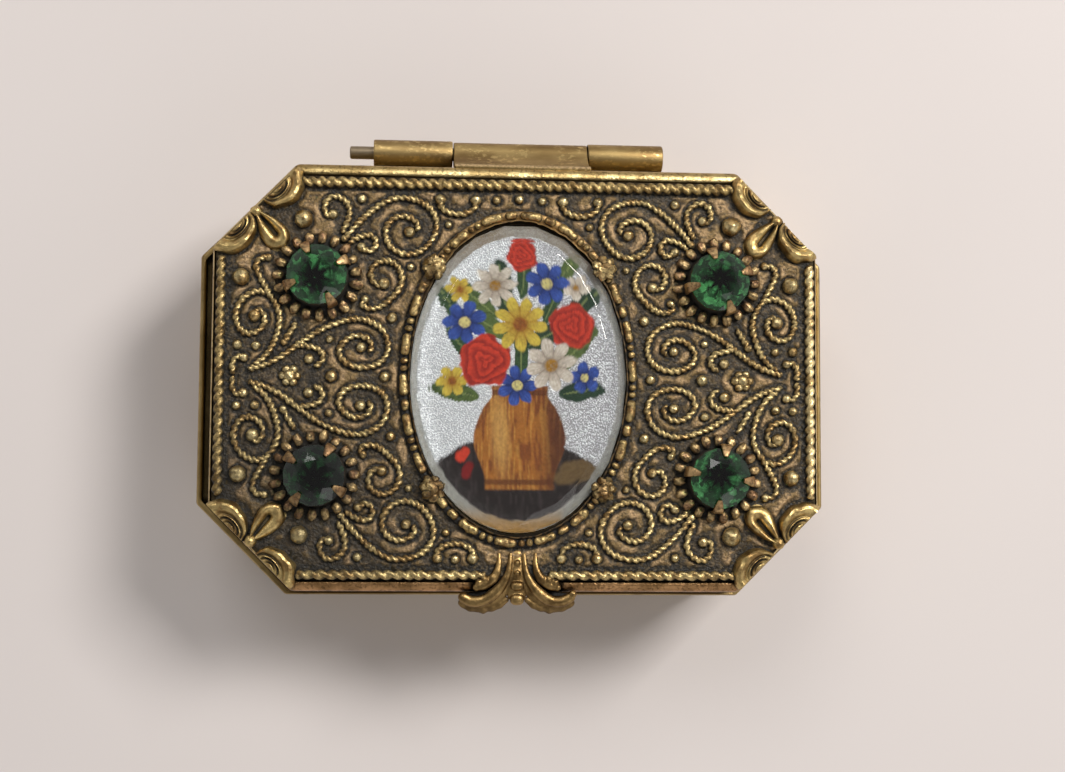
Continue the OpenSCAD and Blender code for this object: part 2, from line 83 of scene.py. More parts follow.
STONE_R = 2.5
STONE_TOP = box_mm("stone_back_left")[1].z
STONE_X = 16.65
STONE_Y = 8.2
CUP_HEIGHT = 1.55
CUP_TOP = GROUND + CUP_HEIGHT
HINGE_Y = 19.7
HINGE_Z = BASE_TOP
KNUCKLE_R = 1.15
PIN_R = 0.55
QUARTERS = ((1, 1), (-1, 1), (-1, -1), (1, -1))


# ---- Numbers that vary smoothly without a seed from outside ----
def lattice(i, j, seed):
    value = np.sin(i * 127.1 + j * 311.7 + seed * 74.7) * 43758.5453
    return value - np.floor(value)


def dice(i, j, seed):
    return float(lattice(i, j, seed))


def blotches(x, y, size, seed):
    """Smooth noise from 0 to 1 over a plane, with features of the given size."""
    x, y = np.asarray(x) / size, np.asarray(y) / size
    i, j = np.floor(x), np.floor(y)
    u, v = x - i, y - j
    u, v = u * u * (3 - 2 * u), v * v * (3 - 2 * v)
    low = lattice(i, j, seed) * (1 - u) + lattice(i + 1, j, seed) * u
    high = lattice(i, j + 1, seed) * (1 - u) + lattice(i + 1, j + 1, seed) * u
    return low * (1 - v) + high * v


def step_up(value, low, high):
    t = np.clip((value - low) / (high - low), 0, 1)
    return t * t * (3 - 2 * t)


# ---- Materials ----
def srgb(red, green, blue):
    """A linear colour from 8-bit display values."""
    parts = [v / 255 for v in (red, green, blue)]
    return tuple(v / 12.92 if v < 0.04045 else ((v + 0.055) / 1.055) ** 2.4 for v in parts) + (1,)


class Surface:
    """A Principled material, and short ways to add nodes to it. Colours of three numbers are display values."""

    def __init__(self, name, **values):
        self.material = bpy.data.materials.new(name)
        self.material.use_nodes = True
        self.tree = self.material.node_tree
        self.shader = self.tree.nodes["Principled BSDF"]
        self.set(**values)

    def set(self, **values):
        """Sets the shader's inputs, named with _ for a space."""
        for key, value in values.items():
            self.put(self.shader.inputs[key.replace("_", " ")], value)

    def put(self, socket, value):
        if isinstance(value, bpy.types.NodeSocket):
            self.tree.links.new(value, socket)
        elif isinstance(value, tuple) and socket.type == "RGBA" and len(value) == 3:
            socket.default_value = srgb(*value)
        else:
            socket.default_value = value

    def add(self, kind, inputs, **options):
        node = self.tree.nodes.new("ShaderNode" + kind)
        for key, value in options.items():
            setattr(node, key, value)
        for key, value in inputs.items():
            self.put(node.inputs[key], value)
        return node

    def place(self):
        return self.add("TexCoord", {}).outputs["Object"]

    def painted(self, name, output):
        return self.add("Attribute", {}, attribute_name=name).outputs[output]

    def noise(self, size, detail=3.0, stretch=None):
        """Noise whose features are about size millimetres across."""
        place = self.place()
        if stretch:
            place = self.add("Mapping", {"Vector": place, "Scale": stretch}).outputs[0]
        values = {"Vector": place, "Scale": 1 / (size * MM), "Detail": detail}
        return self.add("TexNoise", values).outputs["Fac"]

    def span(self, value, low, high, start=0.0, end=1.0):
        values = {"Value": value, "From Min": low, "From Max": high, "To Min": start, "To Max": end}
        return self.add("MapRange", values, interpolation_type="SMOOTHSTEP").outputs["Result"]

    def spots(self, size, detail, low, high, start=0.0, end=1.0):
        return self.span(self.noise(size, detail), low, high, start, end)

    def along(self, axis, low, high):
        """Rises from 0 to 1 between two places in millimetres."""
        place = self.add("SeparateXYZ", {"Vector": self.place()}).outputs[axis]
        return self.span(place, low * MM, high * MM)

    def shade_towards_corner(self, start, end):
        """Goes from start to end towards the front-left corner, darker there: painted shade, partly heavier patina."""
        return self.span(self.times(self.along("X", 2, -22), self.along("Y", 7, -12)), 0, 1, start, end)

    def fold(self, operation, first, *rest):
        for value in rest:
            first = self.add("Math", {0: first, 1: value}, operation=operation, use_clamp=True).outputs[0]
        return first

    def times(self, *values):
        return self.fold("MULTIPLY", *values)

    def most(self, *values):
        return self.fold("MAXIMUM", *values)

    def blend(self, factor, a, b):
        node = self.tree.nodes.new("ShaderNodeMix")
        node.data_type = "RGBA"
        self.put(node.inputs[0], factor)
        for socket in node.inputs:
            if socket.type == "RGBA":
                self.put(socket, a if socket.name == "A" else b)
        return next(s for s in node.outputs if s.type == "RGBA")

    def open_sky(self, reach, low, high, start=0.0, end=1.0):
        """From start in grooves to end on open surfaces."""
        seen = self.add("AmbientOcclusion", {"Distance": reach * MM}, samples=12).outputs["AO"]
        return self.span(seen, low, high, start, end)

    def roughen(self, wear, start, end, fine, extra):
        """Roughness from start to end over the wear, with some of a fine noise added."""
        self.set(Roughness=self.fold("ADD", self.span(wear, 0, 1, start, end), self.span(fine, 0.3, 0.7, 0, extra)))

    def grain(self, height, strength, depth):
        """Bump of a height signal, depth in millimetres."""
        values = {"Height": height, "Strength": strength, "Distance": depth * MM}
        self.set(Normal=self.add("Bump", values).outputs[0])
        return self.material

    def let_through(self, tint):
        """Lets lamps through glass."""
        thin = self.add("BsdfTransparent", {"Color": tint})
        shadow = self.add("LightPath", {}).outputs["Is Shadow Ray"]
        mixed = self.add("MixShader", {0: shadow, 1: self.shader.outputs[0], 2: thin.outputs[0]})
        self.put(self.tree.nodes["Material Output"].inputs["Surface"], mixed.outputs[0])


PATINA = (38, 34, 28)
GOLD = (222, 198, 141)
OLD_GOLD = (170, 139, 91)
COPPER = (158, 124, 92)
SHEET_GOLD = (208, 182, 128)
SHEET_BROWN = (180, 153, 104)
# Stains, and the painted shade that the sheets' corners darken to
STAIN_AND_SHADE = (92, 74, 50)


def worn_metal(name, bright, tint, low, high, groove=0.55, rough=0.34, bumps=0.09, worn=0.35, dark=PATINA, corner_shade=0.62):
    """Rubbed metal over dark patina: bright on top and where it is open, dark below and in grooves.

    low and high are heights over the ground. worn is how bright the least rubbed patches stay. The last argument is
    how bright the front-left corner stays under its painted shade, which is partly heavier patina.
    """
    s = Surface(name)
    raised = s.along("Z", GROUND + low, GROUND + high)
    open_part = s.open_sky(groove, 0.4, 0.9)
    # Rubbed less towards the front-left corner: painted shade, partly heavier patina.
    rubbed = s.times(raised, open_part, s.spots(0.3, 6.0, 0.34, 0.56, worn), s.shade_towards_corner(1.0, corner_shade))
    metal = s.blend(s.spots(1.0, 6.0, 0.42, 0.64), bright, tint)
    s.set(Base_Color=s.blend(rubbed, dark, metal), Metallic=s.span(rubbed, 0.0, 0.5, 0.25, 1.0))
    s.roughen(rubbed, 0.62, rough, s.noise(0.14, 4.0), 0.16)
    return s.grain(s.noise(0.2, 6.0), 0.8, bumps)


def sheet_metal(name, bright, tint, stain_and_shade, rough=0.36, marked=0.3, grime_and_shade=0.85):
    """Plain gilt sheet: wide faint clouds, corners darkened by grime and painted shade, fine pits and hairline
    scratches.
    """
    s = Surface(name, Metallic=1.0)
    metal = s.blend(s.spots(9.0, 5.0, 0.38, 0.66), bright, tint)
    clouds = s.times(s.spots(1.4, 8.0, 0.5, 0.8), marked)
    pits = s.times(s.spots(0.2, 4.0, 0.62, 0.76), marked)
    # Darker where ambient occlusion finds a corner: grime, partly painted shade.
    marks = s.most(clouds, s.open_sky(0.7, 0.4, 0.95, grime_and_shade, 0.0), pits)
    s.set(Base_Color=s.blend(marks, metal, stain_and_shade))
    hair = s.noise(0.4, 5.0, (1.0, 1.0, 16.0))
    s.roughen(marks, rough, 0.58, hair, 0.14)
    return s.grain(s.times(hair, s.noise(0.16, 3.0)), 0.25, 0.03)


def hinge_metal(name, to_gilt=None):
    """Dull drawn brass, rubbed bright in fine specks. to_gilt is the height span where it turns to bright gilt."""
    s = Surface(name, Metallic=1.0)
    dull = s.blend(s.span(s.noise(2.0, 5.0, (0.4, 1.0, 1.0)), 0.38, 0.62), (170, 145, 97), (134, 109, 69))
    specks = s.span(s.noise(0.3, 7.0, (0.6, 1.0, 1.0)), 0.5, 0.62)
    rubbed = s.times(specks, s.spots(1.6, 3.0, 0.4, 0.6), 0.8)
    if to_gilt:
        rubbed = s.most(rubbed, s.times(s.along("Z", *to_gilt), s.spots(0.28, 7.0, 0.44, 0.56, 0.15)))
    tone = s.blend(rubbed, dull, (210, 182, 124))
    s.set(Base_Color=s.blend(s.open_sky(0.5, 0.35, 0.85, 0.8, 0.0), tone, (58, 46, 30)))
    s.set(Roughness=s.span(rubbed, 0, 1, 0.46, 0.3))
    return s.grain(s.noise(0.16, 5.0), 0.4, 0.04)


def ground_metal():
    """The plate's ground: dark in the grooves, rubbed to a dull pinkish gilt on its raised patches, darker towards the
    front-left corner: painted shade, partly heavier patina.
    """
    s = Surface("dark_ground", Specular_IOR_Level=0.35)
    mottle = s.noise(0.26, 6.0)
    # Less rubbed, and below fewer flecks, towards the front-left corner: painted shade, partly heavier patina.
    rubbed = s.times(s.painted("rub", "Fac"), s.span(mottle, 0.36, 0.54, 0.45, 1.0), s.shade_towards_corner(1.0, 0.54))
    pale = s.blend(s.spots(1.1, 4.0, 0.42, 0.58), (172, 144, 107), (130, 108, 73))
    flecks = s.times(s.spots(0.3, 6.0, 0.5, 0.66), s.shade_towards_corner(1.0, 0.3))
    deep = s.blend(flecks, (34, 31, 26), (88, 75, 53))
    s.set(Base_Color=s.blend(rubbed, deep, pale), Metallic=s.span(rubbed, 0, 1, 0.15, 0.6))
    s.set(Roughness=s.span(mottle, 0.3, 0.7, 0.38, 0.6))
    return s.grain(s.noise(0.22, 6.0), 1.0, 0.12)


def shell_metal():
    """The lid's sheet: bright gilt at the back, worn to copper along the front edge, with painted shade towards the
    left end and on the back edge's outer slope, and a black painted shadow behind the thumb-piece.
    """
    s = Surface("lid_gilt", Metallic=1.0)
    front = s.along("Y", -16.2, -17.0)
    top = s.along("Z", LID_TOP - 1.0, LID_TOP - 0.2)
    cloud = s.times(s.spots(1.6, 6.0, 0.38, 0.62), s.span(top, 0, 1, 0.35, 1.0))
    gilt = s.blend(cloud, (244, 221, 160), (188, 161, 108))
    # Darker towards the left end: painted shade.
    gilt = s.blend(s.times(s.along("X", -7, -17), 0.6), gilt, (150, 126, 80))
    # Darker on the back edge's outer slope, which faces away from the light: painted shade.
    gilt = s.blend(s.times(s.along("Y", 17.2, 17.55), 0.7), gilt, (150, 124, 76))
    copper = s.blend(cloud, (184, 142, 98), (144, 110, 72))
    specks = s.times(s.spots(0.26, 7.0, 0.52, 0.66), 0.6, s.span(top, 0, 1, 0.2, 1.0))
    marks = s.most(specks, s.open_sky(0.5, 0.45, 0.95, 0.95, 0.0))
    middle = s.times(s.along("X", -4.2, -3.7), s.along("X", 4.2, 3.7))
    # Black behind the thumb-piece: a painted shadow.
    thumb_shadow = s.times(middle, s.times(front, s.along("Z", LID_TOP - 3.2, LID_TOP - 1.4)))
    worn = s.blend(marks, s.blend(front, gilt, copper), (60, 46, 30))
    s.set(Base_Color=s.blend(thumb_shadow, worn, (24, 19, 14)), Roughness=s.span(marks, 0, 1, 0.32, 0.55))
    return s.grain(s.noise(0.2, 6.0), s.span(top, 0, 1, 0.15, 0.9), 0.07)


def bezel_metal():
    """The thin bezel round the glass: black in its gap, a painted shadow; brown where its back part faces forward to
    the light, a painted light; brown in spots along its top edge.
    """
    s = Surface("bezel_light_and_shade")
    # Brown on the back part, which faces the light: painted light.
    bare = s.times(s.along("Y", 5.0, 11.5), s.spots(0.5, 5.0, 0.32, 0.6, 0.3))
    edge = s.times(s.along("Z", GROUND + 0.36, GROUND + 0.52), s.spots(0.4, 5.0, 0.4, 0.6, 0.0, 0.4))
    rubbed = s.most(bare, edge)
    # Black elsewhere: painted shadow in the gap.
    s.set(Base_Color=s.blend(rubbed, (26, 22, 18), (176, 142, 92)), Metallic=s.span(rubbed, 0, 1, 0.2, 0.75))
    s.set(Roughness=s.span(rubbed, 0, 1, 0.55, 0.4))
    return s.grain(s.noise(0.2, 5.0), 0.8, 0.06)


def clear_glass():
    """Polished glass over the picture."""
    s = Surface("clear_glass", Roughness=0.015, IOR=1.5, Base_Color=(0.97, 0.985, 0.98, 1), Transmission_Weight=1.0)
    s.let_through((0.92, 0.94, 0.93, 1))
    return s.grain(s.noise(2.5, 2.0), 0.06, 0.05)


def green_glass():
    s = Surface("green_glass", Roughness=0.04, IOR=1.58, Base_Color=(0.1, 0.35, 0.17, 1), Transmission_Weight=1.0)
    s.let_through((0.3, 0.6, 0.35, 1))
    return s.grain(s.noise(0.5, 3.0), 0.08, 0.03)


def stone_foil(name, bright, dark):
    """The backs of the stones: patches of light and dark, painted glints such as many small facets give."""
    s = Surface(name, Metallic=0.45)
    cells = s.add("TexVoronoi", {"Vector": s.place(), "Scale": 1 / (0.48 * MM)}).outputs["Color"]
    patch = s.add("SeparateColor", {"Color": cells}).outputs[0]
    # Light and dark cells: painted glints.
    tone = s.times(s.span(patch, 0.25, 0.85), s.spots(0.9, 3.0, 0.36, 0.6))
    s.set(Base_Color=s.blend(tone, dark, bright), Roughness=s.spots(0.3, 3.0, 0.3, 0.7, 0.12, 0.3))
    return s.grain(s.noise(0.45, 3.0), 0.4, 0.04)


def painted_pearl():
    """The picture: ink over a pearly silver ground that glitters."""
    s = Surface("painted_pearl", Specular_IOR_Level=0.12)
    ink = s.painted("ink", "Fac")
    glitter = s.noise(0.13, 1.0)
    bare = s.fold("SUBTRACT", 1.0, ink)
    glint = s.times(bare, s.span(glitter, 0.46, 0.62, 0.0, 0.6))
    s.set(Base_Color=s.blend(glint, s.painted("paint", "Color"), (0.62, 0.64, 0.67, 1)))
    s.set(Metallic=s.times(bare, s.span(glitter, 0.42, 0.6, 0.2, 0.8)), Roughness=s.span(ink, 0, 1, 0.42, 0.55))
    return s.grain(s.times(glitter, bare), 0.7, 0.06)


def card_paper():
    s = Surface("card_paper", Roughness=0.7)
    s.set(Base_Color=s.blend(s.noise(0.5), (205, 205, 204), (226, 226, 224)))
    return s.grain(s.noise(0.1), 0.3, 0.02)


def pin_steel():
    s = Surface("pin_steel", Metallic=1.0)
    drawn = s.noise(0.6, 3.0, (1.0, 12.0, 12.0))
    s.set(Base_Color=s.blend(drawn, (112, 98, 78), (168, 152, 128)), Roughness=s.span(drawn, 0.3, 0.7, 0.45, 0.6))
    return s.grain(drawn, 0.2, 0.02)


MATERIALS = {
    "wire": worn_metal("antique_wire", GOLD, OLD_GOLD, 0.1, 0.44, rough=0.3),
    "bead": worn_metal("antique_bead", (224, 204, 152), (180, 150, 100), 0.04, 0.3, rough=0.28, bumps=0.05),
    # The rope's copies differ by painted light and shade: the plain one for the back and the shaded left side, a
    # brighter one for the front, the brightest for the lit right side.
    "rope": worn_metal("antique_rope", (204, 178, 122), (150, 124, 80), 0.15, 0.55, rough=0.3),
    "rope_front": worn_metal("antique_rope_half_lit", (216, 192, 136), (164, 136, 90), 0.1, 0.5, rough=0.3, worn=0.45),
    "rope_right": worn_metal("antique_rope_lit", (238, 216, 162), (198, 168, 114), 0, 0.45, rough=0.3, worn=0.7),
    "bars": worn_metal("antique_bars", (206, 180, 124), (148, 118, 78), 0.1, 0.62, 0.5, 0.32, 0.1),
    "nugget": worn_metal("antique_nugget", (214, 188, 134), (146, 118, 80), 0.1, 1.05, 0.35, 0.3),
    "shells": worn_metal("antique_shells", (206, 180, 122), (158, 128, 82), -0.5, 0.3, 0.4, 0.3, 0.04, 0.7, corner_shade=0.9),
    "thumb": worn_metal(
        "antique_thumb", (160, 132, 86), (114, 90, 56), -1.0, 0.25, 0.5, 0.28, 0.02, 0.85, (96, 76, 48)
    ),
    # A dark sheet behind the thumb-piece's arms, where there is only shade: painted shadow.
    "shade_sheet": worn_metal("painted_shadow_sheet", OLD_GOLD, OLD_GOLD, -0.5, 0.6, dark=(26, 22, 18)),
    "copper": worn_metal("copper_gilt", (206, 178, 128), COPPER, 0.05, 0.5),
    "claw": worn_metal("copper_claw", (196, 164, 118), (164, 128, 92), 0.4, 1.2, bumps=0.04),
    "cup": worn_metal("dark_cup", COPPER, OLD_GOLD, CUP_HEIGHT - 0.5, CUP_HEIGHT + 0.3, rough=0.45),
    "ground": ground_metal(),
    "shell": shell_metal(),
    "bezel_shade": bezel_metal(),
    "plate": sheet_metal("plate_edge", (80, 70, 52), (52, 48, 38), PATINA, 0.5),
    "pan": sheet_metal("pan_gilt", SHEET_GOLD, SHEET_BROWN, STAIN_AND_SHADE, marked=0.22),
    # The rim's grooves beside the lid darken to near black: painted shade, partly grime.
    "rim": sheet_metal("rim_gilt", (176, 152, 104), (136, 114, 74), (20, 17, 12), 0.34, 0.6, 1.0),
    "inside": sheet_metal("inner_gilt", (220, 196, 144), (204, 176, 124), STAIN_AND_SHADE, 0.33, 0.2),
    "hinge": hinge_metal("hinge_brass"),
    "hinge_lid": hinge_metal("hinge_brass_gilt", (LID_TOP - 2.4, LID_TOP - 0.4)),
    "pin": pin_steel(),
    "glass": clear_glass(),
    "green": green_glass(),
    "foil": stone_foil("stone_foil", (206, 226, 196), (60, 78, 62)),
    # A darker foil for the front-left stone: painted shade.
    "shaded_foil": stone_foil("shaded_stone_foil", (84, 100, 82), (20, 27, 21)),
    "picture": painted_pearl(),
    "card": card_paper(),
}


# ---- Meshes ----
def circle(sides):
    return np.linspace(0, 2 * math.pi, sides, endpoint=False)


def oval_points(rx, ry, z, turn, centre=(0, 0)):
    return np.stack([centre[0] + rx * np.cos(turn), centre[1] + ry * np.sin(turn), np.full(len(turn), z)], 1)


def join_parts(parts):
    points, faces, base = [], [], 0
    for part_points, part_faces in parts:
        points.append(np.asarray(part_points, float))
        faces += [tuple(base + i for i in face) for face in part_faces]
        base += len(part_points)
    return np.concatenate(points), faces


def to_mesh(name, points, faces, outward=True, sharp=40):
    mesh = bpy.data.meshes.new(name)
    mesh.from_pydata(points.tolist(), [], faces)
    if outward:
        work = bmesh.new()
        work.from_mesh(mesh)
        bmesh.ops.recalc_face_normals(work, faces=work.faces)
        work.to_mesh(mesh)
        work.free()
    mesh.shade_smooth()
    mesh.set_sharp_from_angle(angle=math.radians(sharp))
    return mesh


def new_object(name, data):
    obj = bpy.data.objects.new(name, data)
    bpy.context.scene.collection.objects.link(obj)
    return obj


def add_piece(name, mesh, material, node, body="lid"):
    """A visible piece that rides on a body and stands for a node, or adds to one where node is None."""
    obj = new_object(name, mesh)
    mesh.materials.append(MATERIALS[material])
    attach(obj, body)
    if node:
        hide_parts(node)
    return obj


def piece(name, parts, material, node, body="lid", outward=True, sharp=40):
    points, faces = join_parts(parts)
    return add_piece(name, to_mesh(name, points * MM, faces, outward, sharp), material, node, body)


def second_material(obj, material, chosen):
    """Gives the faces that chosen picks another material."""
    obj.data.materials.append(MATERIALS[material])
    for face in obj.data.polygons:
        face.material_index = int(chosen(face))


def store(obj, name, kind, field, values):
    layer = obj.data.attributes.new(name, kind, "POINT")
    layer.data.foreach_set(field, values.ravel().astype(np.float32))


def loft(rings, ends="caps"):
    """A skin over rings of one length. ends is caps, loop (the last joins the first) or open."""
    n, count = len(rings[0]), len(rings)
    faces = []
    for i in range(count if ends == "loop" else count - 1):
        a, b = i * n, (i + 1) % count * n
        faces += [(a + j, a + (j + 1) % n, b + (j + 1) % n, b + j) for j in range(n)]
    if ends == "caps":
        faces += [tuple(range(n)), tuple(range((count - 1) * n, count * n))]
    return np.concatenate(rings), faces


def octagon_ring(shape, inset, z, radius, steps=5):
    """One level round an eight-sided shape (half x, half y, corner cut), its corners rounded.

    inset is one distance for all sides, or one each for the ends, the long sides and the cut corners.
    """
    half_x, half_y, cut = shape
    in_x, in_y, in_cut = inset if isinstance(inset, tuple) else (inset, inset, inset)
    cut += math.sqrt(2) * in_cut - in_x - in_y - radius * (2 - math.sqrt(2))
    x, y = half_x - in_x - radius, half_y - in_y - radius
    corners = [(x, y - cut), (x - cut, y), (cut - x, y), (-x, y - cut)]
    corners += [(-px, -py) for px, py in corners]
    points = []
    for k, (cx, cy) in enumerate(corners):
        for j in range(steps + 1):
            turn = math.radians(45 * (k + j / steps))
            points.append((cx + radius * math.cos(turn), cy + radius * math.sin(turn), z))
    return np.array(points)


def levels(shape, profile, radius=0.5):
    return [octagon_ring(shape, inset, z, radius) for inset, z in profile]


def shared_insets(widths, profile):
    """A profile of shares of three widths (ends, long sides, cut corners), as insets and heights."""
    return [(tuple(share * width for width in widths), z) for share, z in profile]


def turned(profile, centre=(0, 0), sides=28, ends="caps"):
    """A body of revolution about Z: profile is radius, height."""
    return loft([oval_points(r, r, z, circle(sides), centre) for r, z in profile], ends)


def ball(centre, radius, sides=14, rings=8, stretch=(1, 1, 1), turn=0.0, lumps=0.0, seed=0, boxy=1.0):
    """A ball, stretched along a direction in the plane and dented by lumps. boxy below 1 squares it off."""
    lat = np.linspace(-math.pi / 2, math.pi / 2, rings + 1)
    lon = circle(sides)
    lat[0], lat[-1] = lat[0] + 0.02, lat[-1] - 0.02
    c, s = math.cos(turn), math.sin(turn)
    level = []
    for a in lat:
        unit = oval_points(np.cos(a), np.cos(a), np.sin(a), lon)
        unit = np.sign(unit) * abs(unit) ** boxy
        if lumps:
            swell = blotches(unit[:, 0] * 3 + 9 * unit[:, 2], unit[:, 1] * 3 + 7 * seed, 1.0, seed)
            unit = unit * (1 + lumps * (swell - 0.5))[:, None]
        x, y, z = (unit * radius * np.array(stretch)).T
        level.append(np.stack([x * c - y * s, x * s + y * c, z], 1) + np.array(centre))
    return loft(level)


def evenly(curve, spacing):
    """A curve again at even steps, and its length at each."""
    length = np.concatenate([[0], np.cumsum(np.linalg.norm(np.diff(curve, axis=0), axis=1))])
    even = np.linspace(0, length[-1], max(2, int(length[-1] / spacing) + 1))
    return np.stack([np.interp(even, length, part) for part in curve.T], 1), even


def smooth_path(points, spacing):
    """An even curve through points, by Catmull-Rom."""
    p = np.array(points, float)
    p = np.vstack([2 * p[0] - p[1], p, 2 * p[-1] - p[-2]])
    t = np.linspace(0, 1, 12, endpoint=False)[:, None]
    curve = []
    for a, b, c, d in zip(p, p[1:], p[2:], p[3:]):
        square, cube = (2 * a - 5 * b + 4 * c - d) * t ** 2, (3 * b - 3 * c + d - a) * t ** 3
        curve.append(0.5 * (2 * b + (c - a) * t + square + cube))
    return evenly(np.vstack(curve + [p[-2][None]]), spacing)


def tube(path, z, radius, flatten):
    """A tube along a path in the plane. radius has a row for each point and a column for each turn."""
    along = np.gradient(path, axis=0)
    along /= np.linalg.norm(along, axis=1)[:, None]
    left = np.stack([-along[:, 1], along[:, 0], np.zeros(len(path))], 1)
    phi = circle(radius.shape[1])
    centre = np.column_stack([path, np.full(len(path), 1.0) * z])
    rings = centre[:, None] + left[:, None] * (radius * np.cos(phi))[..., None]
    return loft(list(rings + np.array([0, 0, 1.0]) * (flatten * radius * np.sin(phi))[..., None]))


TUBE_SIDES = 12


def swept(path, length, z, radius, section, taper, flatten=1.0):
    """A tube with tapered ends. section(turn, length) gives the share of the radius."""
    share = section(circle(TUBE_SIDES)[None, :], length[:, None])
    from_end = np.minimum(length, length[-1] - length)
    share = share * np.sqrt(np.clip(1 - np.clip(1 - from_end / taper, 0, 1) ** 2, 0.02, 1))[:, None]
    return tube(path, z, radius * share, flatten)


# Radius of a strand, and half the distance between the middles of two, as shares of the twist's radius
STRAND_R = 0.62
STRAND_APART = 0.38


def two_strands(pitch, uneven, seed):
    """The section of two strands twisted together, one bump each pitch."""

    def section(phi, length):
        bend = 0.3 * uneven * np.sin(length * 1.3 + seed)
        turn = phi - math.pi * (length + bend) / pitch
        share = STRAND_APART * abs(np.cos(turn)) + np.sqrt(STRAND_R ** 2 - (STRAND_APART * np.sin(turn)) ** 2)
        return share * (1 + uneven * (blotches(length, 0 * length, 0.45, seed) - 0.5))

    return section


# ---- Base ----
def make_base():
    foot, sheet, top = -FOOT_REACH, PAN_SHEET, BASE_TOP
    wall = [
        (foot + 0.35, 0), (foot + 0.12, 0.03), (foot, 0.16), (foot, 0.62), (foot + 0.06, 0.8), (-0.16, 0.9),
        (-0.03, 0.98), (0, 1.12), (0, top - 0.08), (0.08, top), (sheet - 0.08, top), (sheet, top - 0.08),
        (sheet, 1.3), (sheet + 0.1, 0.95), (sheet + 0.32, 0.7), (sheet + 0.6, sheet)
    ]
    piece("box_pan", [loft(levels(PAN, wall))], "pan", "base_pan", "base")
    z = RIM_BOTTOM
    bead = [
        (0.01, z), (0.55, z), (0.85, z + 0.06), (1, z + 0.2), (0.98, z + 0.36), (0.86, z + 0.45), (0.96, z + 0.54),
        (1, z + 0.7), (0.95, z + 0.86), (0.86, top - 0.03), (0.76, top)
    ]
    groove = [(0.64, top - 0.05), (0.56, top - 0.18), (0.5, top - 0.7), (0.01, top - 0.7)]
    reach = tuple(-share for share in RIM_REACH)
    narrow = (reach[0], 0.16 * reach[1], 0.3 * reach[2])
    bead = shared_insets(reach, bead) + shared_insets(narrow, groove)
    piece("rim_moulding", [loft(levels(PAN, bead), "loop")], "rim", "rim_bead", "base")
    collar = levels(PAN, [(sheet, COLLAR_FOOT), (sheet, BASE_TOP - 0.05)])
    top, sheet = COLLAR_TOP, COLLAR_SHEET
    collar += levels(COLLAR, [
        (0, BASE_TOP + 0.02), (0, top - 0.35), (-0.04, top - 0.2), (-0.02, top - 0.06), (0.1, top), (sheet - 0.12, top),
        (sheet, top - 0.1), (sheet, COLLAR_FOOT + 0.05), (sheet - 0.05, COLLAR_FOOT)
    ])
    piece("collar_lining", [loft(collar, "loop")], "inside", "inner_collar", "base")


def make_stud():
    """A small domed stud in the collar's front."""
    low, high = box_mm("catch_stud")
    r, z, depth = (high.x - low.x) / 2, (high.z + low.z) / 2, high.y - low.y
    x, up, out = turned([
        (r * 0.8, -0.02), (r * 0.9, 0), (r, 0.03), (r, depth * 0.55), (r * 0.85, depth * 0.85), (r * 0.5, depth * 0.98),
        (0.02, depth)
    ])[0].T
    faces = turned([(1, 0)] * 7)[1]
    skin = np.stack([x, high.y - out, z + up], 1), faces
    piece("catch_button", [skin], "inside", "catch_stud", "base", sharp=50)


# ---- Hinge ----
# How far the knuckles' ends are softened
END_SOFT = 0.12


def run_along_x(profile, node):
    """A bar along X over a node's length and a closed profile of Y and Z, its ends shrunk towards the pin."""
    start, end = (corner.x for corner in box_mm(node))
    heart = np.array([HINGE_Y, HINGE_Z])
    out = np.array(profile) - heart
    reach = np.linalg.norm(out, axis=1)[:, None]
    soft = np.clip(reach - PIN_R, 0, 1)
    stations = [(start, 1), (start + END_SOFT * 0.3, 0.35), (start + END_SOFT, 0)]
    stations += [(end - END_SOFT, 0), (end - END_SOFT * 0.3, 0.35), (end, 1)]
    rings = []
    for x, share in stations:
        ring = heart + out * (1 - END_SOFT * share * soft / KNUCKLE_R / reach)
        rings.append(np.column_stack([np.full(len(ring), x), ring]))
    return loft(rings)


def arc(r, start, end, steps):
    turn = np.radians(np.linspace(start, end, steps))
    return [(HINGE_Y + r * math.cos(a), HINGE_Z + r * math.sin(a)) for a in turn]


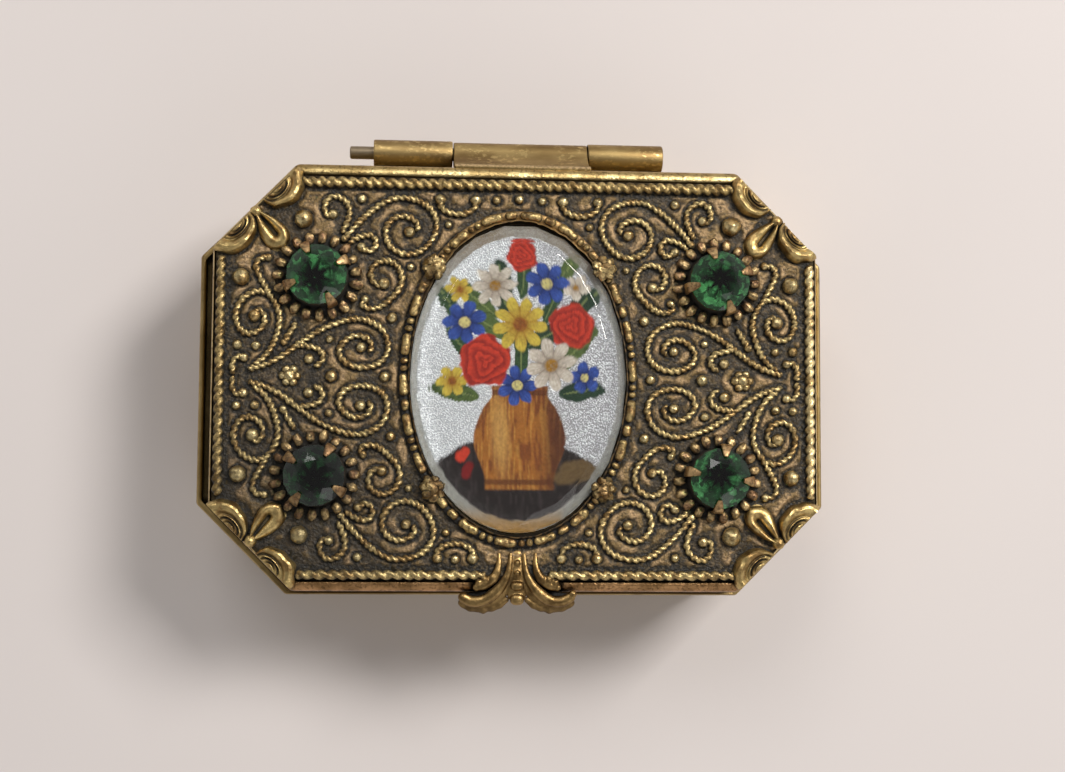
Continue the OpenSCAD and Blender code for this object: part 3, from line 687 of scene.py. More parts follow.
def make_hinge():
    wall, rim = PAN[1], RIM_BOTTOM
    low = box_mm("hinge_knuckle_left")[0].z
    rolled = arc(KNUCKLE_R, -130, 196, 30) + arc(PIN_R + 0.01, 196, -132, 22)
    leaf = [
        (wall + 0.62, rim - 0.75), (wall + 0.6, low + 0.12), (wall + 0.5, low), (wall + 0.02, low), (wall + 0.02, rim),
        (wall + 1.05, rim)
    ]
    for side in ("left", "right"):
        node = "hinge_knuckle_" + side
        piece("rolled_knuckle_" + side, [run_along_x(rolled + leaf, node)], "hinge", node, "base")
    # The lid's knuckle, whose sheet runs up the lid's back
    r, low, top = KNUCKLE_R - 0.1, LID_BOTTOM, LID_TOP
    section = arc(r, 62, -232, 30) + [
        (HINGE_Y - 0.62, HINGE_Z + 0.8), (wall + 1.15, low + 0.45), (wall + 0.02, low + 0.45), (wall + 0.02, top - 0.1),
        (wall + 0.25, top - 0.02), (wall + 0.5, top - 0.35), (wall + 0.75, low + 2.7), (wall + 1.2, low + 1.8),
        (wall + 1.75, low + 1.2), (HINGE_Y + 0.2, HINGE_Z + r)
    ]
    node = "hinge_knuckle_middle"
    piece("lid_knuckle", [run_along_x(section, node)], "hinge_lid", node)
    start, end = (corner.x for corner in box_mm("hinge_pin"))
    long = end - start
    points, faces = turned([
        (PIN_R - 0.16, 0), (PIN_R - 0.04, 0.05), (PIN_R, 0.18), (PIN_R, long - 0.1), (PIN_R - 0.1, long)
    ])
    points = np.stack([start + points[:, 2], HINGE_Y + points[:, 0], HINGE_Z + points[:, 1]], 1)
    piece("steel_pin", [(points, faces)], "pin", "hinge_pin", "base")


# ---- Lid ----
# Width of the raised moulding along the lid's ends, long sides and cut corners
MOULDING = (0.26, 0.95, 0.5)
BACK_ROLL = 0.2
LID_ROUND = 0.8


def make_lid_shell():
    """One skin, open below: its inner side first, then its outer side."""
    b, t, s = LID_BOTTOM, LID_TOP, LID_SHEET
    outside = [(s - 0.06, b), (0.06, b), (0, b + 0.06), (0, t - 0.45)]
    outside += shared_insets(MOULDING, [
        (0.06, t - 0.12), (0.2, t + 0.08), (0.42, t + 0.22), (0.66, t + 0.3), (0.82, t + 0.26), (0.92, t + 0.1),
        (1, t - 0.02)
    ])
    outside = levels(LID, outside + [(1.3, t - 0.02)], LID_ROUND)
    for ring in outside[4:9]:
        ring[:, 1] += BACK_ROLL * step_up(ring[:, 1], LID[1] - 1.0, LID[1] - 0.3)
    inside = [(1.3, t - s), (s + 0.4, t - s), (s + 0.12, t - s - 0.1), (s, t - s - 0.4), (s, b + 0.06)]
    skin = loft(levels(LID, inside, LID_ROUND) + outside)
    cover = piece("lid_cover", [skin], "shell", "lid_shell")

    def looks_in(face):
        turned_in = face.normal.x * face.center.x + face.normal.y * face.center.y < 0 or face.normal.z < -0.9
        return turned_in and face.center.z < (t - s + 0.01) * MM

    second_material(cover, "inside", looks_in)


def make_rivets():
    z, g = LID_TOP - LID_SHEET, GROUND
    head = [(0.02, z - 0.3), (0.5, z - 0.28), (0.85, z - 0.2), (1.05, z - 0.08), (1.1, z + 0.02), (0.3, z + 0.03)]
    upper = [(0.3, g + 0.14), (1.0, g + 0.16), (0.9, g + 0.3), (0.02, g + 0.36)]
    parts = []
    for sx, sy in QUARTERS:
        centre = (sx * STONE_X, sy * STONE_Y)
        parts += [turned(head, centre), turned(upper, centre, 20)]
    piece("rivet_heads", parts, "hinge", "setting_rivets")


# One quarter of the scrolled wires, each from its inner end
SCROLLS = [
    [(8.6, 12.1), (8.45, 12.7), (8.95, 13.2), (9.7, 13.4), (10.5, 13.15), (11.05, 12.4), (11.05, 11.5), (10.5, 10.65),
     (9.4, 10.2), (8.2, 10.5), (7.3, 11.4), (6.9, 12.5), (7.1, 13.6), (7.9, 14.45), (9.2, 14.9), (10.5, 14.85),
     (11.6, 14.3), (12.6, 13.5), (13.5, 12.6), (14.1, 11.9), (14.6, 11.15)],
    [(15.45, 13.45), (15.95, 13.4), (16.15, 13.9), (16.05, 14.45), (15.6, 14.9), (15, 14.9), (14.4, 14.5),
     (14.1, 13.9), (14.15, 13.2), (14.4, 12.5), (14.75, 11.85)],
    [(13.1, 10.75), (12.5, 10.4), (12, 10.7), (11.9, 11.3), (12.35, 11.75), (13.1, 11.65), (13.7, 11.35),
     (14.2, 10.95)],
    [(11.2, 7.7), (11.85, 7.65), (12.25, 8.25), (12.2, 8.95), (11.75, 9.45), (11.05, 9.65), (10.35, 9.4), (9.85, 8.8),
     (9.7, 8), (9.95, 7.25), (10.5, 6.6), (11.1, 6.05), (11.75, 5.7), (12.45, 5.65), (12.95, 5.95), (12.85, 6.4)],
    [(12.45, 2), (12.15, 2.45), (12.35, 3), (12.95, 3.35), (13.75, 3.3), (14.45, 2.8), (14.8, 2.1), (14.5, 1.35),
     (13.8, 0.9), (12.9, 0.75), (12, 0.9), (11.2, 1.4), (10.8, 2.2), (10.85, 3.05), (11.25, 3.85), (11.95, 4.4),
     (12.95, 4.75), (14, 4.7), (15, 4.4), (16, 4), (17, 3.4), (18.2, 2.55), (19.4, 1.65), (20.7, 0.95), (22.2, 0.5)],
    [(20.7, 9.75), (21.35, 9.65), (21.65, 9.2), (21.6, 8.7), (21.35, 8.1), (20.95, 7.4), (20.5, 6.6), (20, 5.9),
     (19.7, 5), (19.75, 4), (20, 3.1), (20.4, 2.2), (21, 1.4), (21.8, 0.85)],
    [(21.8, 5.3), (21.3, 5.35), (20.95, 4.9), (20.95, 4.3), (21.3, 3.75), (21.9, 3.45), (22.5, 3.5), (23, 3.95),
     (23.25, 4.65), (23.2, 5.4), (22.85, 6.15), (22.2, 6.7), (21.4, 6.95), (20.6, 6.7)],
    [(18.3, 4.45), (18.65, 3.85), (19, 3.3), (19.3, 2.75)],
    [(16.85, 0.75), (16.3, 1.1), (16.1, 1.65), (16.5, 2.2), (17.3, 2.45), (18.1, 2.6)],
    [(22.55, 1.45), (23.1, 1.5), (23.45, 0.95), (23.4, 0)],
    [(3.65, 14.75), (3.75, 14.2), (4.3, 13.8), (5.1, 13.65), (5.95, 13.8), (6.5, 14.2), (6.6, 14.75)],
]
# One quarter of the granules: x, y, radius
GRANULES = [
    (9.15, 12.1, 0.42), (15.45, 13.45, 0.38), (13.1, 10.75, 0.36), (11.2, 7.75, 0.42), (12.75, 6.4, 0.34),
    (13, 2.4, 0.42), (20.7, 9.75, 0.32), (21.75, 4.9, 0.5), (14.5, 11.4, 0.3), (19.3, 2.75, 0.3), (17.25, 1.4, 0.42),
    (22.55, 1.45, 0.36), (3.65, 14.85, 0.42), (6.6, 14.85, 0.42), (17.85, 13, 0.7), (22.9, 8.1, 0.65),
    (13.1, 14.8, 0.36), (10.5, 4.9, 0.4), (9, 9.15, 0.3), (21.6, 2.45, 0.35), (23.1, 2.5, 0.37), (15.6, 3.05, 0.32),
    (5.9, 12.75, 0.3)
]
GRANULES_BACK = [(-1.9, 14.9, 0.36), (0, 15, 0.36), (1.9, 14.9, 0.36)]
GRANULES_FRONT = [(-5.1, -14.95, 0.34), (5.1, -14.95, 0.34)]
GRANULES_MIDDLE = [(11.05, 0, 0.4), (15.4, 0, 0.45), (18.8, 0, 0.5)]
ROSETTE_X = 18.8
ROSETTE_SPREAD = 0.57
ROSETTE_BEAD = 0.35


def all_granules():
    spots = [(sx * x, sy * y, r) for x, y, r in GRANULES for sx, sy in QUARTERS]
    spots += GRANULES_BACK + GRANULES_FRONT
    for side in (-1, 1):
        spots += [(side * x, y, r) for x, y, r in GRANULES_MIDDLE]
        for k in range(6):
            a = math.radians(60 * k)
            x, y = side * ROSETTE_X + ROSETTE_SPREAD * math.cos(a), ROSETTE_SPREAD * math.sin(a)
            spots.append((x, y, ROSETTE_BEAD))
    return spots


WIRE_R = 0.3
WIRE_Z = GROUND + 0.18
WIRE_PITCH = 0.5
WIRE_STEP = 0.08


def make_wires():
    """The twisted wires. Gives back every second point of their middles."""
    parts, track = [], []
    for points in SCROLLS:
        for k, (sx, sy) in enumerate(QUARTERS):
            path, length = smooth_path([(sx * x, sy * y) for x, y in points], WIRE_STEP)
            z = WIRE_Z + 0.08 * (blotches(length, 0 * length, 1.6, k) - 0.5)
            strands = two_strands(WIRE_PITCH * (1 + 0.04 * k), uneven=0.34, seed=k)
            parts.append(swept(path, length, z, WIRE_R, strands, taper=0.3))
            track.append(path[::2])
    piece("twisted_wires", parts, "wire", "scroll_wires", sharp=180)
    return np.vstack(track)


def make_granules():
    parts = []
    for k, (x, y, r) in enumerate(all_granules()):
        size = r * (1.02 + 0.14 * dice(k, 3, 1))
        parts.append(ball((x, y, GROUND + 0.25 * size), size, lumps=0.22, seed=k))
    piece("beads", parts, "bead", "granules", sharp=180)


# Where the rope's middle runs in from the plate's edge, and where it ends on the long sides, the ends and by the thumb
ROPE_IN = 0.43
ROPE_LONG = 18.15
ROPE_SHORT = 9.9
ROPE_THUMB = 2.55
ROPE_STEP = 0.11


def make_ropes():
    x, y = PLATE_X - ROPE_IN, PLATE_Y - ROPE_IN
    # Material, pitch, radius, and start and end of each length
    # The left side takes the darker copy and the right side the brightest: painted shade and painted light.
    sides = {
        "back": ("rope", 0.83, 0.5, [(-ROPE_LONG, y - 0.1, ROPE_LONG, y - 0.1)]),
        "front": ("rope_front", 0.9, 0.43, [(ROPE_LONG, -y, ROPE_THUMB, -y), (-ROPE_THUMB, -y, -ROPE_LONG, -y)]),
        "left": ("rope", 0.8, 0.43, [(-x, ROPE_SHORT, -x, -ROPE_SHORT)]),
        "right": ("rope_right", 0.83, 0.43, [(x, -ROPE_SHORT, x, ROPE_SHORT)]),
    }
    for name, (material, pitch, radius, lines) in sides.items():
        parts = []
        for ax, ay, bx, by in lines:
            path, length = smooth_path([(ax, ay), ((ax + bx) / 2, (ay + by) / 2), (bx, by)], ROPE_STEP)
            strands = two_strands(pitch, uneven=0.2, seed=5)
            parts.append(swept(path, length, GROUND + 0.2, radius, strands, taper=0.3))
        piece("rope_" + name, parts, material, "rope_border", sharp=180)


def raised_patch(rows, heights, base):
    """A closed solid over a grid of plan points: heights on top, flat at base below."""
    m, n = rows.shape[:2]
    top, low = (np.dstack([rows, z]).reshape(-1, 3) for z in (heights, np.full((m, n), base)))
    faces = []
    for i in range(m - 1):
        for j in range(n - 1):
            quad = (i * n + j, i * n + j + 1, (i + 1) * n + j + 1, (i + 1) * n + j)
            faces += [quad, tuple(m * n + q for q in quad[::-1])]
    edge = [j for j in range(n)] + [i * n + n - 1 for i in range(1, m)]
    edge += [(m - 1) * n + j for j in range(n - 2, -1, -1)] + [i * n for i in range(m - 2, 0, -1)]
    faces += [(a, b, m * n + b, m * n + a) for a, b in zip(edge, edge[1:] + edge[:1])]
    return np.vstack([top, low]), faces


SHELL_AT = ((19.93, 15.97), (23.85, 12.09))
# How far each corner's shells are moved in from the edge, in the order of QUARTERS
SHELL_IN = (0.16, 0.22, 0.0, 0.06)
# Half length along the cut corner, and depth, of the inner fan and of the whole scallop
SHELL_FAN = (1.35, 0.82)
SHELL_SIZE = (2.1, 1.84)
FAN_SHIFT = 0.45
# Height above the ground from the middle (0) over the fan's edge (1) to the outer edge (2)
SHELL_HEIGHTS = (
    (0, 0.36), (0.3, 0.44), (0.42, 0.26), (0.58, 0.54), (0.7, 0.3), (0.84, 0.62), (0.96, 0.42), (1.04, 0.4),
    (1.25, 0.78), (1.5, 0.95), (1.72, 0.86), (1.9, 0.5), (2, 0.1)
)


def shell_lobe(centre, sx, sy, shift, seed):
    """A half-disc scallop whose flat side lies on the cut corner, its small fan shifted towards the corner's bead."""
    along, inward = np.array([[1, -1], [-1, -1]]) / math.sqrt(2)
    reach = np.concatenate([np.linspace(0.03, 1, 17), np.linspace(1.05, 2, 20)])
    crest = np.interp(reach, *zip(*SHELL_HEIGHTS))
    first, rest = np.clip(reach, 0, 1), np.clip(reach - 1, 0, 1)
    rows, tops = [], []
    for t in np.linspace(0, math.pi, 41):
        wave = 1 + 0.12 * (float(blotches(3 * t, 0, 1, seed)) - 0.5)
        far, deep = (first * fan + rest * (size * wave - fan) for fan, size in zip(SHELL_FAN, SHELL_SIZE))
        plan = np.array(centre) + (far * math.cos(t) + shift * (1 - rest))[:, None] * along
        plan = plan + (deep * math.sin(t))[:, None] * inward
        rows.append(plan * (sx, sy))
        swell = 0.7 + 0.3 * math.sin(t)
        dents = 1 + 0.3 * (blotches(plan[:, 0], plan[:, 1], 0.5, seed) - 0.5)
        tops.append(GROUND + crest * swell * dents)
    return raised_patch(np.array(rows), np.array(tops), LID_TOP - 0.2)


LEAF_START = (21.75, 13.5)
LEAF_TIP = (19.3, 10.55)
LEAF_WIDTH = 1.42
LEAF_BLUNT = 2.4


def leaf(sx, sy):
    """A folded drop-shaped leaf with a dark slot down its middle."""
    start, tip = np.array(LEAF_START), np.array(LEAF_TIP)
    axis = tip - start
    across = np.array([-axis[1], axis[0]]) / np.linalg.norm(axis)
    u, v = np.linspace(0.02, 1, 30), np.linspace(-1, 1, 25)
    width = LEAF_WIDTH * u ** 0.62 * np.sqrt(np.clip(1 - u ** 3.4, 0.003, 1)) / 0.86
    far = np.clip((u - 0.62) / 0.38, 0, 1)
    near = np.clip((0.25 - u) / 0.25, 0, 1)
    slot = v - 0.12 * sx * sy * (1 - v ** 2)
    around = abs(slot[None, :]) ** LEAF_BLUNT + far[:, None] ** LEAF_BLUNT + (0.35 * near[:, None]) ** LEAF_BLUNT
    hump = np.sqrt(np.clip(1 - ((around ** (1 / LEAF_BLUNT) - 0.58) / 0.46) ** 2, 0.0, 1))
    thick = 1 + 0.15 * v[None, :] * sx * sy
    dents = 1 + 0.2 * (blotches(u[:, None] * 5 + sx, v[None, :] * 2 + sy, 1, 12) - 0.5)
    rows = start + axis * u[:, None, None] + across * (width[:, None] * v[None, :])[..., None]
    return raised_patch(rows * (sx, sy), GROUND + 0.05 + 0.66 * hump * thick * dents, GROUND - 0.05)


def make_corners():
    parts = []
    for k, (sx, sy) in enumerate(QUARTERS):
        inward = SHELL_IN[k] / math.sqrt(2)
        for i, (x, y) in enumerate(SHELL_AT):
            parts.append(shell_lobe((x - inward, y - inward), sx, sy, FAN_SHIFT * (1 - 2 * i), 3 * k + i))
        parts.append(leaf(sx, sy))
        parts.append(ball((sx * LEAF_START[0], sy * LEAF_START[1], GROUND + 0.28), 0.53, lumps=0.2, seed=90 + k))
    piece("corner_scallops", parts, "shells", "corner_shells", sharp=60)


# Bars round the oval frame, the length of each, and the step along them
FRAME_UNITS = 22
FRAME_BAR = 1.98
FRAME_STEP = 0.06


def make_frame():
    """Bars and beads on a low ring, and the thin bezel that laps the glass."""
    turn = np.linspace(0, 2 * math.pi, 721)
    path, length = evenly(np.stack([FRAME_A * np.sin(turn), FRAME_B * np.cos(turn)], 1), FRAME_STEP)
    unit = length[-1] / FRAME_UNITS
    parts = []

    def stretch(start, end, radius, seed):
        keep = (length >= start) & (length <= end)
        size = radius * (0.94 + 0.14 * dice(seed, 5, 2))

        def dented(phi, along):
            return 1 + 0.36 * (blotches(along + 3 * seed, phi * 0.45, 0.4, seed) - 0.5)

        z = GROUND + 0.34 + 0.06 * dice(seed, 8, 3)
        parts.append(swept(path[keep], length[keep] - start, z, size, dented, taper=size * 0.95, flatten=1.1))

    for k in range(FRAME_UNITS):
        at = unit * k + 0.12 * (dice(k, 1, 4) - 0.5)
        end, bead = min(at + unit, length[-1]), at + FRAME_BAR
        stretch(at + 0.06, bead, 0.36, k)
        if k % 3:
            stretch(bead + 0.08, bead + 0.68, 0.33, k + 40)
            stretch(bead + 0.7, end - 0.02, 0.32, k + 80)
        else:
            stretch(bead + 0.16, end - 0.12, 0.35, k + 60)
    piece("frame_bars", parts, "bars", "oval_frame", sharp=60)
    ring = oval_ring([(0.4, 0), (0.4, 0.14), (0.3, 0.2), (-0.3, 0.2), (-0.36, 0.14), (-0.36, 0)])
    bezel = oval_ring([
        (-0.28, 0.02), (-0.32, 0.3), (-0.42, 0.5), (-0.5, 0.54), (-0.52, 0.48), (-0.46, 0.4), (-0.42, 0.3), (-0.4, 0.02)
    ], wave=0.08)
    piece("glass_bezel", [ring, bezel], "bezel_shade", "oval_frame", sharp=60)


def oval_ring(profile, wave=0.0):
    """A ring round the picture: profile is outward from the frame's middle, and height above the ground."""
    turn = circle(240)
    normal = np.stack([np.cos(turn) * FRAME_B, np.sin(turn) * FRAME_A], 1)
    normal /= np.linalg.norm(normal, axis=1)[:, None]
    middle = np.stack([FRAME_A * np.cos(turn), FRAME_B * np.sin(turn)], 1)
    rough = wave * (blotches(turn * 9, 0 * turn, 1, 8) + blotches(turn * 31, 0 * turn, 1, 9) - 1)
    rings = []
    for out, up in profile:
        lift = rough * (up / max(p[1] for p in profile))
        rings.append(np.column_stack([middle + normal * (out + lift)[:, None], GROUND + up + 0.6 * lift]))
    return loft(rings, "loop")


CLAW_X = 7.05
CLAW_Y = 9.15


def make_frame_claws():
    """Four rough nuggets, each a heap of blunt facets with dark seams."""
    parts = []
    for k, (sx, sy) in enumerate(QUARTERS):
        x, y = sx * CLAW_X, sy * CLAW_Y
        parts.append(ball((x, y, GROUND + 0.4), 0.96, 11, 7, (1, 0.95, 1), 0.6 * k, 0.5, 20 + k))
        for j in range(7):
            turn = 2 * math.pi * (j / 7 + 0.1 * k)
            out, up, size = 0.52 + 0.14 * dice(k, j, 6), 0.5 + 0.3 * dice(k, j, 7), 0.42 + 0.12 * dice(k, j, 8)
            spot = (x + out * math.cos(turn), y + out * math.sin(turn), GROUND + up)
            parts.append(ball(spot, size, 7, 5, (1.1, 0.85, 1), turn, 0.6, 7 * k + j))
        spot = (x + 0.15 * math.cos(k), y + 0.15 * math.sin(k), GROUND + 1.0)
        parts.append(ball(spot, 0.56, 8, 5, (1.15, 0.9, 0.66), k + 0.5, 0.5, 50 + k))
    piece("claw_lumps", parts, "nugget", "frame_claws", sharp=32)


# ---- The plate's ground ----
GRID = 0.11
GROUND_IN = 0.35
# Reach of what stands on the ground, from its middle or, for the rope, from the plate's edge
WIRE_REACH = 0.26
CUP_REACH = 3.35
CLAW_REACH = 1.0
LEAF_REACH = 0.95
ROPE_REACH = 1.05


def make_ground(track):
    """A sheet just above the plate: dark grooves beside the wires, rubbed patches in the wider gaps."""
    xs, ys = (np.arange(-half + GROUND_IN, half - GROUND_IN + 0.01, GRID) for half in (PLATE_X, PLATE_Y))
    x, y = (part.ravel() for part in np.meshgrid(xs, ys, indexing="ij"))
    tree = kdtree.KDTree(len(track))
    for k, (tx, ty) in enumerate(track):
        tree.insert((tx, ty, 0), k)
    tree.balance()
    near = np.array([tree.find((px, py, 0))[2] for px, py in zip(x, y)]) - WIRE_REACH
    quarter = [(STONE_X, STONE_Y, CUP_REACH), (CLAW_X, CLAW_Y, CLAW_REACH)]
    quarter += [(sx, sy, SHELL_SIZE[0]) for sx, sy in SHELL_AT]
    for t in (0.3, 0.6, 0.9):
        quarter.append((*(a + (b - a) * t for a, b in zip(LEAF_START, LEAF_TIP)), LEAF_REACH))
    for px, py, r in all_granules() + [(sx * px, sy * py, r) for px, py, r in quarter for sx, sy in QUARTERS]:
        near = np.minimum(near, np.hypot(x - px, y - py) - r)
    near = np.minimum(near, np.minimum(PLATE_X - ROPE_REACH - abs(x), PLATE_Y - ROPE_REACH - abs(y)))
    near = np.minimum(near, (np.hypot(x / (FRAME_A + 0.35), y / (FRAME_B + 0.35)) - 1) * 11)
    soft = 0.16 * (blotches(x, y, 0.45, 3) - 0.5)
    streaks = 0.5 + 0.5 * np.cos(2 * math.pi * (near / 0.42 + 1.2 * blotches(x, y, 1.3, 9)))
    where = 0.6 * blotches(x, y, 1.5, 5) + 0.4 * blotches(x, y, 0.6, 25) + 0.25 * step_up(near, 0.3, 0.9)
    patch = step_up(near + soft, 0.16, 0.3) * (0.12 + 0.88 * step_up(where, 0.44, 0.58))
    rub = patch * (1 - 0.5 * step_up(streaks, 0.6, 0.9) * step_up(blotches(x, y, 2.4, 15), 0.35, 0.6))
    height = 0.02 + 0.14 * rub + 0.06 * (blotches(x, y, 0.24, 7) - 0.5)
    keep = (abs(x) + abs(y) < CHAMFER_SUM - 0.6) & (np.hypot(x / (FRAME_A - 0.1), y / (FRAME_B - 0.1)) > 1)
    index = np.where(keep, np.cumsum(keep) - 1, -1).reshape(len(xs), len(ys))
    quads = np.stack([index[:-1, :-1], index[1:, :-1], index[1:, 1:], index[:-1, 1:]], -1).reshape(-1, 4)
    quads = quads[(quads >= 0).all(1)].tolist()
    points = np.stack([x[keep], y[keep], GROUND + height[keep]], 1)
    obj = piece("plate_ground", [(points, quads)], "ground", None, outward=False, sharp=180)
    store(obj, "rub", "FLOAT", "value", rub[keep])


# ---- Stones and their settings ----
# Quarter, turn of the setting and turn of the stone in degrees
SETTINGS = {
    "back_left": (-1, 1, 8, -15), "back_right": (1, 1, 0, -5),
    "front_left": (-1, -1, 40, -8), "front_right": (1, -1, -25, 8)
}
CLAW_TURNS = (20, 105, 193, 290)
CUP_BEADS = 19


def cut_stone(centre, turn):
    """A brilliant: table, star, kite and girdle facets above, long facets below, its culet a little off the middle."""
    def ring(r, z, count, shift, off=(0.0, 0.0)):
        a = np.radians(turn) + 2 * math.pi * (np.arange(count) + shift) / count
        return oval_points(r, r, z, a, (centre[0] + off[0], centre[1] + off[1]))

    low = CUP_TOP
    drift = (0.3 * math.cos(turn), 0.3 * math.sin(turn))
    points = np.vstack([
        ring(1.28, STONE_TOP, 8, 0), ring(1.9, STONE_TOP - 0.32, 8, 0.5), ring(STONE_R, low + 0.2, 16, 0),
        ring(STONE_R, low, 16, 0), ring(1.2, GROUND + 0.72, 8, 0.75, drift), ring(0.03, GROUND + 0.4, 8, 0.25, drift)
    ])
    t, k, g, h, m, c = 0, 8, 16, 32, 48, 56
    for i in range(m, c):
        points[i] += [0.3 * (dice(i, turn, axis) - 0.5) for axis in range(3)]
    faces = [tuple(range(8))]
    for i in range(8):
        j, two, after = (i + 1) % 8, 2 * i, (2 * i + 2) % 16
        faces += [(t + i, k + i, t + j), (t + j, k + i, g + after, k + j)]
        faces += [(k + i, g + two, g + two + 1), (k + i, g + two + 1, g + after)]
        faces += [(h + two, m + i, h + two + 1), (h + two + 1, m + i, h + after), (h + after, m + i, c + j, m + j)]
    faces += [(g + i, h + i, h + (i + 1) % 16, g + (i + 1) % 16) for i in range(16)]
    faces.append(tuple(c + i for i in range(8)))
    return points, faces


def setting_claw(centre, turn):
    """A flat blunt claw, folded over the stone's crown."""
    a = math.radians(turn)
    out, side = np.array([math.cos(a), math.sin(a)]), np.array([-math.sin(a), math.cos(a)])
    top = CUP_TOP + 0.15
    # Distance from the stone's middle, height and half width
    line = [
        (2.8, GROUND + 0.3, 0.46), (2.8, top - 0.1, 0.45), (2.75, top + 0.1, 0.44), (2.6, top + 0.26, 0.42),
        (2.3, top + 0.44, 0.34), (2.0, top + 0.6, 0.24), (1.82, top + 0.69, 0.15)
    ]
    rings = []
    for k, (r, z, half) in enumerate(line):
        before, after = line[max(k - 1, 0)], line[min(k + 1, len(line) - 1)]
        along = np.array([after[0] - before[0], after[1] - before[1]])
        normal = np.array([along[1], -along[0]]) / np.linalg.norm(along)
        ring = []
        for s, h in ((-1, -0.4), (-0.92, 0.3), (-0.6, 0.55), (0.6, 0.55), (0.92, 0.3), (1, -0.4)):
            plan = np.array(centre) + out * (r + normal[0] * h * 0.17) + side * s * half
            ring.append((*plan, z + normal[1] * h * 0.17))
        rings.append(np.array(ring))
    return loft(rings)


def make_settings():
    rim, z, g = STONE_R - 0.08, CUP_TOP - 0.1, GROUND
    wall = [
        (rim - 0.16, g + 0.15), (rim - 0.14, z - 0.04), (rim - 0.08, z), (rim, z - 0.02), (rim + 0.04, z - 0.14),
        (rim + 0.1, g + 0.5), (rim + 0.24, g + 0.2), (3.2, g + 0.1), (3.26, g + 0.02), (0.4, g + 0.02)
    ]
    for name, (sx, sy, turn, stone_turn) in SETTINGS.items():
        centre = (sx * STONE_X, sy * STONE_Y)
        beads = []
        for k in range(CUP_BEADS):
            a = 2 * math.pi * k / CUP_BEADS + math.radians(turn)
            wobble = dice(k, sx + 2 * sy, 11) - 0.5
            reach = 3.18 + 0.1 * wobble
            spot = (centre[0] + reach * math.cos(a), centre[1] + reach * math.sin(a), g + 0.32)
            beads.append(ball(spot, 0.4, 12, 8, (1.4 + 0.3 * wobble, 0.95, 1), a, 0.4, k + 13 * (sx + 2 * sy), 0.9))
        claws = [setting_claw(centre, turn + a) for a in CLAW_TURNS]
        for title, parts, material in (
            ("cup_", [turned(wall, centre, 48, "loop")], "cup"), ("cup_beads_", beads, "copper"),
            ("claws_", claws, "claw")
        ):
            piece(title + name, parts, material, "setting_" + name, sharp=50)
        gem = piece("gem_" + name, [cut_stone(centre, stone_turn)], "green", "stone_" + name, sharp=5)
        # The front-left stone takes the darker foil: painted shade.
        foil = "shaded_foil" if name == "front_left" else "foil"
        second_material(gem, foil, lambda face: face.center.z < (CUP_TOP - 0.01) * MM)


# ---- Picture and glass ----
GLASS_FACETS = 22
GLASS_BLUNT = 0.028


def make_glass():
    """The oval glass: a flat table with two rows of bevel facets round it, its upper edges a little blunt."""
    low, edge, top = GLASS_SEAT - 0.03, GLASS_SEAT + 0.72, GLASS_TOP
    count = GLASS_FACETS

    def ring(inset, z, shift):
        return oval_points(GLASS_A - inset, GLASS_B - inset, z, 2 * math.pi * (np.arange(count) + shift) / count)

    points, faces = loft([ring(0.02, low, 0), ring(0.0, edge, 0)], "open")
    points = np.vstack([points, ring(0.6, edge + 0.58, 0.5), ring(1.5, top, 0)])
    a, b, c = count, 2 * count, 3 * count
    faces.append(tuple(range(count)))
    for i in range(count):
        j = (i + 1) % count
        faces += [(a + i, a + j, b + i), (b + i, a + j, b + j), (b + i, b + j, c + j), (b + i, c + j, c + i)]
    faces.append(tuple(c + i for i in range(count)))
    mesh = piece("faceted_glass", [(points, faces)], "glass", "glass_oval", sharp=4).data
    work = bmesh.new()
    work.from_mesh(mesh)
    upper = [e for e in work.edges if min(v.co.z for v in e.verts) > (edge - 0.1) * MM]
    crisp = [e for e in upper if e.calc_face_angle(0) > math.radians(3)]
    bmesh.ops.bevel(work, geom=crisp, offset=GLASS_BLUNT * MM, segments=1, affect="EDGES", profile=0.5)
    work.to_mesh(mesh)
    work.free()
    mesh.set_sharp_from_angle(angle=math.radians(2))


def disc(x, y, cx, cy, rx, ry, turn=0.0, edge=0.12, wobble=0.0, seed=0):
    """How much a soft-edged oval covers each point."""
    c, s = math.cos(math.radians(turn)), math.sin(math.radians(turn))
    u, v = (x - cx) * c + (y - cy) * s, (y - cy) * c - (x - cx) * s
    reach = np.hypot(u / rx, v / ry) + wobble * (blotches(x + seed, y, 0.55, seed) - 0.5)
    return 1 - step_up(reach, 1 - edge / rx, 1 + edge / rx)


# The bunch's leaves: x, y, half length and turn
LEAVES = (
    (-4.4, 2.2, 2.8, 130), (4.5, 2.1, 2.9, 48), (-1.4, 7.6, 2.4, 100), (2.9, 6.6, 2.3, 66), (-5.2, -1.2, 2.0, 168),
    (5.3, -1.0, 1.9, 10), (0.2, 2.2, 2.4, 90), (-3.4, 6.4, 2.2, 140), (5.4, 6.4, 1.7, 40), (-5.8, 6.2, 1.5, 115),
    (-2.2, 4.2, 2.2, 150), (2.4, 3.6, 2.2, 30), (0.4, 8.6, 2.0, 84), (3.9, 9.0, 1.3, 52)
)
GREENS = ((52, 80, 48), (84, 104, 54), (38, 62, 44))
# Petal, shade and heart of each kind of flower
KINDS = {
    "red": ((204, 62, 40), (124, 24, 24), (214, 172, 84)),
    "blue": ((58, 88, 172), (24, 36, 92), (214, 202, 132)),
    "yellow": ((214, 192, 78), (160, 116, 38), (142, 82, 32)),
    "white": ((222, 212, 198), (150, 136, 122), (160, 116, 38))
}
